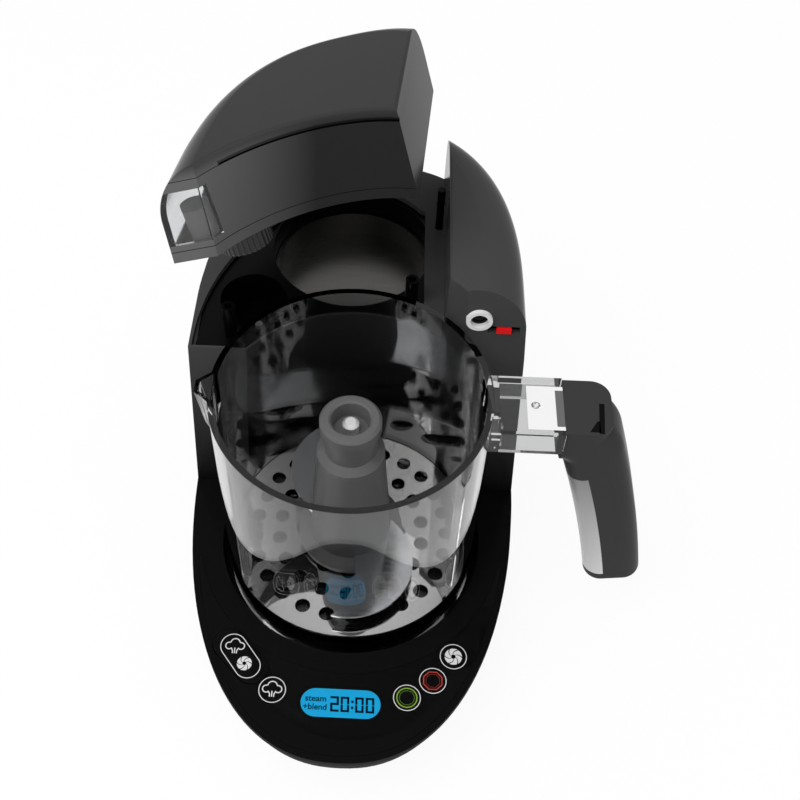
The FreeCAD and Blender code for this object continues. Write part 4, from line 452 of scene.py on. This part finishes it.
def metal(name, colour, roughness, streak=(60.0, 900.0, 60.0), spread=0.15, bump=0.05):
    material = bpy.data.materials.new(name)
    material.use_nodes = True
    tree = material.node_tree
    shader = tree.nodes["Principled BSDF"]
    shader.inputs["Base Color"].default_value = (*colour, 1)
    shader.inputs["Metallic"].default_value = 1.0
    place = tree.nodes.new("ShaderNodeTexCoord").outputs["Object"]
    squeeze = tree.nodes.new("ShaderNodeMapping")
    squeeze.inputs["Scale"].default_value = streak
    tree.links.new(place, squeeze.inputs["Vector"])
    lines = noise(tree, squeeze.outputs[0], 1.0, 3.0)
    change = arithmetic(tree, "MULTIPLY", arithmetic(tree, "SUBTRACT", lines, 0.5), spread)
    tree.links.new(arithmetic(tree, "ADD", change, roughness), shader.inputs["Roughness"])
    bumped = tree.nodes.new("ShaderNodeBump")
    bumped.inputs["Strength"].default_value = bump
    bumped.inputs["Distance"].default_value = LINE_DEPTH
    tree.links.new(lines, bumped.inputs["Height"])
    tree.links.new(bumped.outputs["Normal"], shader.inputs["Normal"])
    return material


plate_steel = metal("plate_steel", (0.80, 0.79, 0.78), 0.03, spread=0.01, bump=0.002)
blade_steel = metal("blade_steel", (0.72, 0.73, 0.75), 0.12)
boiler_steel = metal("boiler_steel", (0.115, 0.112, 0.108), 0.3)
pin_steel = metal("pin_steel", (0.96, 0.96, 0.96), 0.6)
can_metal = metal("can_metal", (0.5, 0.5, 0.52), 0.35)
bearing_brass = metal("bearing_brass", (0.75, 0.55, 0.24), 0.3)
print("metals ready")

# %% [markdown]
# The display's window is lit from behind by a blue lamp, so it glows a little by itself.

# %% Display finish
DISPLAY_GLOW = (0.008, 0.47, 0.89, 1)
DISPLAY_STRENGTH = 0.66
display_blue = plastic("display_blue", (0.002, 0.03, 0.06), 0.08, shine=0.1)
shader_input(display_blue.node_tree, "Emission Color").default_value = DISPLAY_GLOW
shader_input(display_blue.node_tree, "Emission Strength").default_value = DISPLAY_STRENGTH
print("display finish ready")

# %% [markdown]
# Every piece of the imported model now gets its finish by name. A piece that the list forgets would stay
# bare, so the cell prints what is left over.

# %% Give every piece of the model its finish
FINISHES = [
    (gloss_black_painted_shade, ["upper_housing", "tower_cover"]),
    (tank_black_painted_light, ["tank_lid", "tank_body", "tank_bottom"]),
    (panel_black, ["control_panel", "steam_blend_key", "steam_key", "start_key", "stop_key", "blend_key"]),
    (satin_black, ["bottom_tray", "steam_sleeve", "post_pin"]),
    (cap_black, ["tank_cap"]),
    (grip_black, ["handle_grip"]),
    (seat_black_painted_shade, ["tank_seat"]),
    (bowl_clear, ["bowl"]),
    (window_clear, ["tank_window"]),
    (silicone_white, ["steam_port", "boiler_seal", "cap_gasket"]),
    (inlay_grey_painted_light, ["grip_inlay"]),
    (red_plastic, ["interlock_tab"]),
    (hub_grey, ["blade_hub", "bowl_bush"]),
    (part_grey, ["spindle_socket", "drive_dog", "driven_pulley", "motor_pulley", "valve_cage",
                 "valve_plunger", "valve_pin", "lcd_module", "key_switches", "interlock_switch"]),
    (plate_steel, ["strainer_plate", "handle_screw", "tray_screws", "valve_spring", "heating_element",
                   "motor_bracket"]),
    (blade_steel, ["lower_blade", "upper_blade", "drive_shaft", "motor_shaft"]),
    (pin_steel, ["blade_spindle"]),
    (boiler_steel, ["boiler_dish", "thermostat"]),
    (bearing_brass, ["drive_bush", "drive_pivot"]),
    (can_metal, ["motor_can"]),
    (board_green, ["control_board", "power_board"]),
    (display_blue, ["lcd_window"]),
    (rubber_black, ["rubber_feet", "drive_belt", "cord_grommet", "steam_tube"]),
]
for material, names in FINISHES:
    for name in names:
        nodes[name].data.materials.clear()
        nodes[name].data.materials.append(material)
bare = sorted(set(nodes) - {name for material, names in FINISHES for name in names})
print("pieces without a finish:", bare)

# %% [markdown]
# The small marks are flat shapes laid on the surfaces. All of them are sheets: a grid of points with
# a quad between neighbours. A ribbon is the sheet that follows a line in plan with an even width, as
# a pen stroke does. Everything is drawn in millimetres about the bowl's axis.

# %% Sheets and ribbons
INK_LIFT = 0.03
RING_STEPS = 96


def place_of(node):
    """A node's middle in plan and its top, in millimetres about the bowl's axis."""
    low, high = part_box(node)
    middle = ((low + high) / 2 - bowl_axis) / MM
    return np.array(middle[:2]), high.z / MM


def sheet(points, close_rows=False, close_columns=False):
    """Corners and quads of a grid of points (rows, columns, 3), joined end to start where closed."""
    rows, columns = points.shape[:2]
    index = np.arange(rows * columns).reshape(rows, columns)
    if close_rows:
        index = np.concatenate([index, index[:1]])
    if close_columns:
        index = np.concatenate([index, index[:, :1]], axis=1)
    quads = np.stack([index[:-1, :-1], index[:-1, 1:], index[1:, 1:], index[1:, :-1]], axis=-1)
    return points.reshape(-1, 3), quads.reshape(-1, 4)


def make_piece(name, sheets, material, body):
    """One object from several sheets, riding on a body."""
    all_corners = [corners for corners, quads in sheets]
    all_quads = [quads for corners, quads in sheets]
    starts = np.cumsum([0] + [len(corners) for corners in all_corners[:-1]])
    corners = np.concatenate(all_corners) * MM + axis_foot
    quads = np.concatenate([quads + start for quads, start in zip(all_quads, starts)])
    mesh = bpy.data.meshes.new(name)
    mesh.from_pydata(corners.tolist(), [], quads.tolist())
    mesh.polygons.foreach_set("use_smooth", np.ones(len(quads), bool))
    mesh.materials.append(material)
    return add_piece(name, mesh, body)


def add_piece(name, mesh, body):
    """A finished mesh as an object that moves with a body."""
    piece = bpy.data.objects.new(name, mesh)
    scene.collection.objects.link(piece)
    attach(piece, body)
    return piece


def at_height(plan, height):
    """Plan points (rows, columns, 2) with one height for all of them."""
    return np.concatenate([plan, np.full((*plan.shape[:2], 1), height)], axis=2)


def ribbon(path, width, height, closed=False):
    """A flat strip along a plan path: every point is moved half the width to either side."""
    if closed:
        ahead = np.roll(path, -1, axis=0) - np.roll(path, 1, axis=0)
    else:
        ahead = np.gradient(path, axis=0)
    aside = np.stack([ahead[:, 1], -ahead[:, 0]], axis=1) / np.linalg.norm(ahead, axis=1)[:, None]
    sides = path[:, None] + aside[:, None] * (np.array([-0.5, 0.5]) * width)[None, :, None]
    return sheet(at_height(sides, height), close_rows=closed)


def ring(centre, inner, outer, height, sides=RING_STEPS):
    """A flat ring; few sides make it a polygon."""
    turn = (np.arange(sides) + 0.5) * 2 * np.pi / sides
    path = centre + (inner + outer) / 2 * np.stack([np.cos(turn), np.sin(turn)], axis=1)
    return ribbon(path, outer - inner, height, closed=True)


def arc(x, y, radius, start, end, steps=20):
    """Points on a circle about x, y from one angle to another, in degrees."""
    turn = np.radians(np.linspace(start, end, steps))
    return np.stack([x + radius * np.cos(turn), y + radius * np.sin(turn)], axis=1)


print("sheets and ribbons ready")

# %% [markdown]
# The keys are printed in white: a ring near the edge, a puff of steam for steaming, a disc of curved
# vanes for blending. Start is a green ring and stop a red octagon, as on many machines. The ink is on
# the key's own cap, so it goes down with the key.

# %% Key prints
ink_white = plastic("ink_white", (0.66, 0.66, 0.66), 0.4)
ink_green = plastic("ink_green", (0.20, 0.36, 0.035), 0.4)
ink_dark_green = plastic("ink_dark_green", (0.008, 0.015, 0.004), 0.3, shine=0.05)
ink_red = plastic("ink_red", (0.42, 0.035, 0.025), 0.4)
ink_dark_red = plastic("ink_dark_red", (0.02, 0.005, 0.004), 0.3, shine=0.05)
RING_WIDTH = 0.42
LINE_WIDTH = 0.55
VANES = 6
VANE_TWIST = 1.1
VANE_START = 0.26
VANE_GAP = 0.08
BLEND_RADIUS, SMALL_BLEND_RADIUS = 4.3, 3.7
LOBE_OUT, LOBE_UP, LOBE_RADIUS = 2.9, 0.4, 1.8
CROWN_UP, CROWN_RADIUS = 2.0, 2.3
STEM_TOP, STEM_MIDDLE, STEM_FOOT = -0.6, -2.0, -3.6
FLARE_OUT, FLARE_DOWN, FLARE_RADIUS = 4.1, -3.0, 3.1
LONG_RADIUS = 6.3
LONG_TURN = 38
LONG_LEAN = np.array([-0.636, 0.812])
KEY_RADIUS = 8.0
LONG_PUFF = np.array([-3.2, 4.8])
LONG_BLEND = np.array([2.4, -3.9])
OUTER_BED, OUTER_LINE, INNER_BED, INNER_LINE = (5.1, 5.5), (4.6, 5.1), (3.6, 4.6), (3.5, 3.6)
STOP_SIDES = 8


def key_edge(node):
    """Half the smaller side of a round key's box: its radius."""
    low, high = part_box(node)
    return min(high.x - low.x, high.y - low.y) / 2 / MM


def puff(centre, height):
    """A cloud of three lobes over a stem of three flaring strokes."""
    cloud = np.concatenate([arc(-LOBE_OUT, LOBE_UP, LOBE_RADIUS, -55, -275),
                            arc(0, CROWN_UP, CROWN_RADIUS, 172, 8),
                            arc(LOBE_OUT, LOBE_UP, LOBE_RADIUS, 95, -125)])
    strokes = [cloud, np.array([(0, STEM_TOP), (0, STEM_MIDDLE), (0, STEM_FOOT)]),
               arc(-FLARE_OUT, FLARE_DOWN, FLARE_RADIUS, 48, -12),
               arc(FLARE_OUT, FLARE_DOWN, FLARE_RADIUS, 132, 192)]
    return [ribbon(centre + stroke, LINE_WIDTH, height) for stroke in strokes]


def swirl(centre, radius, height):
    """A disc of vanes: each point turns further the further out it lies."""
    share = np.linspace(VANE_START, 1, 12)[:, None]
    along = np.linspace(VANE_GAP, 1 - VANE_GAP, 10)[None]
    vanes = []
    for vane in range(VANES):
        turn = (vane + along) * 2 * np.pi / VANES - VANE_TWIST * share
        points = [centre[0] + radius * share * np.cos(turn), centre[1] + radius * share * np.sin(turn)]
        vanes.append(sheet(np.stack([*points, np.full_like(turn, height)], axis=2)))
    return vanes


steam_at, key_top = place_of("steam_key")
ink_height = key_top + INK_LIFT
edge = key_edge("steam_key")
steam_marks = puff(steam_at, ink_height) + [ring(steam_at, edge - RING_WIDTH, edge, ink_height)]
make_piece("steam_print", steam_marks, ink_white, "steam_key")

blend_at = place_of("blend_key")[0]
blend_marks = swirl(blend_at, BLEND_RADIUS, ink_height)
blend_marks.append(ring(blend_at, edge - RING_WIDTH, edge, ink_height))
make_piece("blend_print", blend_marks, ink_white, "blend_key")

long_at = place_of("steam_blend_key")[0]
low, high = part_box("steam_blend_key")
long_reach = ((high.x - low.x) / MM - 2 * KEY_RADIUS) / 2
far_end = long_at + long_reach * LONG_LEAN
near_end = long_at - long_reach * LONG_LEAN
stadium = np.concatenate([arc(*far_end, LONG_RADIUS, LONG_TURN, LONG_TURN + 180, 48),
                          arc(*near_end, LONG_RADIUS, LONG_TURN + 180, LONG_TURN + 360, 48)])
long_marks = [ribbon(stadium, RING_WIDTH, ink_height, closed=True)]
long_marks += puff(long_at + LONG_PUFF, ink_height)
long_marks += swirl(long_at + LONG_BLEND, SMALL_BLEND_RADIUS, ink_height)
make_piece("steam_blend_print", long_marks, ink_white, "steam_blend_key")

for key, light, dark, sides in (("start_key", ink_green, ink_dark_green, RING_STEPS),
                                ("stop_key", ink_red, ink_dark_red, STOP_SIDES)):
    at = place_of(key)[0]
    edge_ring = ring(at, edge - RING_WIDTH, edge, ink_height)
    make_piece(key + "_ring", [edge_ring], ink_white, key)
    line_rings = [ring(at, *band, ink_height, sides) for band in (OUTER_LINE, INNER_LINE)]
    make_piece(key + "_line", line_rings, light, key)
    bed_rings = [ring(at, *band, ink_height, sides) for band in (INNER_BED, OUTER_BED)]
    make_piece(key + "_bed", bed_rings, dark, key)
print("keys printed", steam_at, blend_at, long_at)

# %% [markdown]
# The display shows a time of twenty minutes in seven-segment figures, with the mode beside it in two
# small words. Figures are strokes; the words are set in the plain built-in type and made mesh.

# %% Display figures
display_ink = plastic("display_ink", (0.001, 0.008, 0.02), 0.3, shine=0.03)
display_at, display_top = place_of("lcd_window")
figure_height = display_top + INK_LIFT
FIGURE_TALL = 6.7
FIGURE_WIDE = 3.05
FIGURE_STROKE = 1.1
FIGURE_LEAN = -0.03
FIGURE_DROP = 0.4
STROKE_GAP = 0.15
FIGURE_PLACES = [("2", -4.4), ("0", 0.6), ("0", 7.6), ("0", 12.7)]
COLON_LEFT, COLON_RIGHT, COLON_WIDTH = 5.1, 6.3, 1.2
COLON_RISES = (-1.9, 1.1)
LETTER_SWELL = 0.02
SEGMENTS = [((0, 1), (1, 1)), ((1, 1), (1, 0.5)), ((1, 0.5), (1, 0)), ((0, 0), (1, 0)),
            ((0, 0), (0, 0.5)), ((0, 0.5), (0, 1)), ((0, 0.5), (1, 0.5))]
SHOWN = {"2": (0, 1, 6, 4, 3), "0": (0, 1, 2, 3, 4, 5)}


def figure_stroke(start, end, left):
    """One segment in a leaning box: a level one closes the corners, an upright one stops short."""
    ends = np.array([start, end]) * np.array([FIGURE_WIDE, FIGURE_TALL])
    ends = ends - np.array([0, FIGURE_TALL / 2 + FIGURE_DROP])
    along = (ends[1] - ends[0]) / np.linalg.norm(ends[1] - ends[0])
    short = -FIGURE_STROKE / 2 if start[1] == end[1] else STROKE_GAP
    ends = ends + along * np.array([[short], [-short]])
    ends[:, 0] += left + FIGURE_LEAN * ends[:, 1]
    return ribbon(display_at + ends, FIGURE_STROKE, figure_height)


figures = [figure_stroke(*SEGMENTS[part], left) for digit, left in FIGURE_PLACES for part in SHOWN[digit]]
for rise in COLON_RISES:
    dot = np.array([(COLON_LEFT, rise), (COLON_RIGHT, rise)])
    figures.append(ribbon(display_at + dot, COLON_WIDTH, figure_height))
make_piece("display_figures", figures, display_ink, "base")


def word(text, left, right, base):
    """A short word set between two sides of the display, on a base line."""
    letters = bpy.data.curves.new(text, "FONT")
    letters.body = text
    letters.offset = LETTER_SWELL
    carrier = bpy.data.objects.new(text, letters)
    mesh = bpy.data.meshes.new_from_object(carrier)
    corners = np.empty(len(mesh.vertices) * 3)
    mesh.vertices.foreach_get("co", corners)
    corners = corners.reshape(-1, 3)
    corners[:, 0] -= corners[:, 0].min()
    scale = (right - left) / corners[:, 0].max()
    corners = corners * scale + np.array([display_at[0] + left, display_at[1] + base, 0])
    corners[:, 2] = figure_height
    mesh.vertices.foreach_set("co", (corners * MM + axis_foot).ravel())
    mesh.materials.append(display_ink)
    bpy.data.objects.remove(carrier)
    return mesh


add_piece("display_word_top", word("steam", -17.2, -7.0, 0.6), "base")
add_piece("display_word_low", word("+blend", -18.0, -6.6, -3.6), "base")


def stadium_path(centre, half_length, radius, steps=48):
    """A round-ended outline: two half circles, one about either end of a line along x."""
    straight = half_length - radius
    return np.concatenate([arc(centre[0] + straight, centre[1], radius, -90, 90, steps),
                           arc(centre[0] - straight, centre[1], radius, 90, 270, steps)])


BEZEL_LENGTH, BEZEL_HEIGHT = 38.6, 14.4
BEZEL_LAP = 0.9
low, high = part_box("lcd_window")
edges = [stadium_path(display_at, BEZEL_LENGTH / 2, BEZEL_HEIGHT / 2),
         stadium_path(display_at, (high.x - low.x) / 2 / MM + BEZEL_LAP,
                      (high.y - low.y) / 2 / MM + BEZEL_LAP)]
bezel = sheet(at_height(np.stack(edges), figure_height), close_columns=True)
make_piece("display_bezel", [bezel], panel_black, "base")
print("display set")

# %% [markdown]
# On the handle's clear bracket lies a white plate with the screw's hole, which ties grip and bowl
# together. A sheet whose rows run from the hole's round edge to the plate's square edge makes it.

# %% Bracket plate
plate_white = plastic("plate_white", grey(0.80), 0.25)
slot_painted_shade = plastic("slot_painted_shade", grey(0.10), 0.35)
screw_at, screw_top = place_of("handle_screw")
BRACKET_DROP = 4.0
bracket_top = rim_height / MM - BRACKET_DROP
PLATE_LEFT, PLATE_RIGHT, PLATE_FRONT, PLATE_BACK = 79.3, 95.8, -13.6, 11.2
HOLE_RADIUS = 2.1
HOLE_DEPTH = 1.2
SOCKET_RADIUS, SOCKET_FOOT_RADIUS, SOCKET_DEPTH = 0.9, 0.8, 0.6
PIN_POINT = 0.01
RECESS_PATH = np.array([(94.0, -11.6), (94.0, 0), (94.0, 9.0)])
RECESS_WIDTH = 3.6
SLOT_PATH = np.array([(112.9, 2.4), (112.3, -6.0), (111.6, -14.6)])
SLOT_WIDTH = 2.4
NOTCH_PLAN = np.array([[(106.4, -13.8), (111.2, -13.9)], [(110.2, -7.6), (111.3, -7.8)]])


def plate_sheet(centre, hole, height):
    """Rows from a hole's circle out to a rectangle, along rays that include its four corners."""
    sides = np.array([(PLATE_LEFT, PLATE_FRONT), (PLATE_RIGHT, PLATE_BACK)]) - centre
    corners = np.arctan2(sides[[0, 0, 1, 1], 1], sides[[0, 1, 1, 0], 0])
    turn = np.sort(np.concatenate([np.linspace(-np.pi, np.pi, 64, endpoint=False), corners]))
    ray = np.stack([np.cos(turn), np.sin(turn)], axis=1)
    reach = np.where(ray >= 0, sides[1], sides[0]) / np.where(ray == 0, 1e-9, ray)
    far = centre + ray * reach.min(axis=1)[:, None]
    near = centre + ray * hole
    rows = near[None] + (far - near)[None] * np.linspace(0, 1, 6)[:, None, None]
    return sheet(at_height(rows, height), close_columns=True)


def lathe(centre, profile, steps=48):
    """A surface of revolution: profile rows of radius and height, turned about an upright axis."""
    turn = np.arange(steps) * 2 * np.pi / steps
    radius, height = np.asarray(profile, float).T
    points = [centre[0] + radius[:, None] * np.cos(turn), centre[1] + radius[:, None] * np.sin(turn),
              np.repeat(height[:, None], steps, axis=1)]
    return sheet(np.stack(points, axis=2), close_columns=True)


plate_height = bracket_top + INK_LIFT
plate = plate_sheet(screw_at, HOLE_RADIUS, plate_height)
make_piece("bracket_plate", [plate], plate_white, "bowl_unit")
# A grey strip on the plate stands for a recess with no depth cut: its grey is painted shade.
recess_painted_shade = ribbon(RECESS_PATH, RECESS_WIDTH, plate_height + INK_LIFT)
make_piece("bracket_recess_painted_shade", [recess_painted_shade], slot_painted_shade, "bowl_unit")
# Two black sheets on the grip's head stand for its slot and notch with no depth cut: painted shade.
head_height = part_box("handle_grip")[1].z / MM + INK_LIFT
head_slot_painted_shade = ribbon(SLOT_PATH, SLOT_WIDTH, head_height)
head_notch_painted_shade = sheet(at_height(NOTCH_PLAN, head_height))
make_piece("grip_slot_painted_shade", [head_slot_painted_shade, head_notch_painted_shade], panel_black, "bowl_unit")
screw_face = plate_height - HOLE_DEPTH
cup = [(HOLE_RADIUS, plate_height), (HOLE_RADIUS, screw_face), (SOCKET_RADIUS, screw_face),
       (SOCKET_FOOT_RADIUS, screw_face - SOCKET_DEPTH), (PIN_POINT, screw_face - SOCKET_DEPTH)]
screw_piece = make_piece("bracket_screw", [lathe(screw_at, cup)], plate_steel, "bowl_unit")
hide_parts("handle_screw")
print("bracket dressed at", screw_at, screw_top, bracket_top)

# %% [markdown]
# The valve under the tank has a spring on its stem. When the seat pushes the plunger up, the spring
# shortens; here the coil is built at one length. Its wire is a helix about the tank's own axis.

# %% Valve spring
SPRING_TURNS = 5
SPRING_WIRE = 0.4
END_SHARE = 0.02
TURN_STEPS = 32
WIRE_SIDES = 10


def world_corners(node):
    """A node's corners in the shared frame, in millimetres about the bowl's axis."""
    matrix = np.array(nodes[node].matrix_world)
    corners = corners_of(node) @ matrix[:3, :3].T + matrix[:3, 3]
    return (corners - axis_foot) / MM


def coil(centre, up, low, high, radius):
    """A wire's circle carried along a helix, narrowing to a point at either end."""
    turn = np.linspace(0, 2 * np.pi * SPRING_TURNS, SPRING_TURNS * TURN_STEPS + 1)
    level = np.cross(up, (0, 1, 0)) / np.linalg.norm(np.cross(up, (0, 1, 0)))
    out = np.cos(turn)[:, None] * level + np.sin(turn)[:, None] * np.cross(up, level)
    path = centre + radius * out + np.linspace(low, high, len(turn))[:, None] * up
    wire = np.full(len(turn), SPRING_WIRE)
    path = np.concatenate([path[:1], path, path[-1:]])
    out = np.concatenate([out[:1], out, out[-1:]])
    wire = np.concatenate([wire[:1] * END_SHARE, wire, wire[-1:] * END_SHARE])
    around = np.arange(WIRE_SIDES) * 2 * np.pi / WIRE_SIDES
    circle = np.cos(around)[None, :, None] * out[:, None] + np.sin(around)[None, :, None] * up
    return sheet(path[:, None] + wire[:, None, None] * circle, close_columns=True)


stem = world_corners("valve_plunger").mean(axis=0)
spring = world_corners("valve_spring") - stem
heights = spring @ TANK_UP
spread = np.linalg.norm(spring - heights[:, None] * TANK_UP, axis=1)
spring_low, spring_high = heights.min() + SPRING_WIRE, heights.max() - SPRING_WIRE
wire_coil = coil(stem, TANK_UP, spring_low, spring_high, spread.max() - SPRING_WIRE)
spring_piece = make_piece("spring_coil", [wire_coil], plate_steel, "cap")
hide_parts("valve_spring")
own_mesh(spring_piece)
print("spring from", spring_low, "to", spring_high, "radius", spread.max())
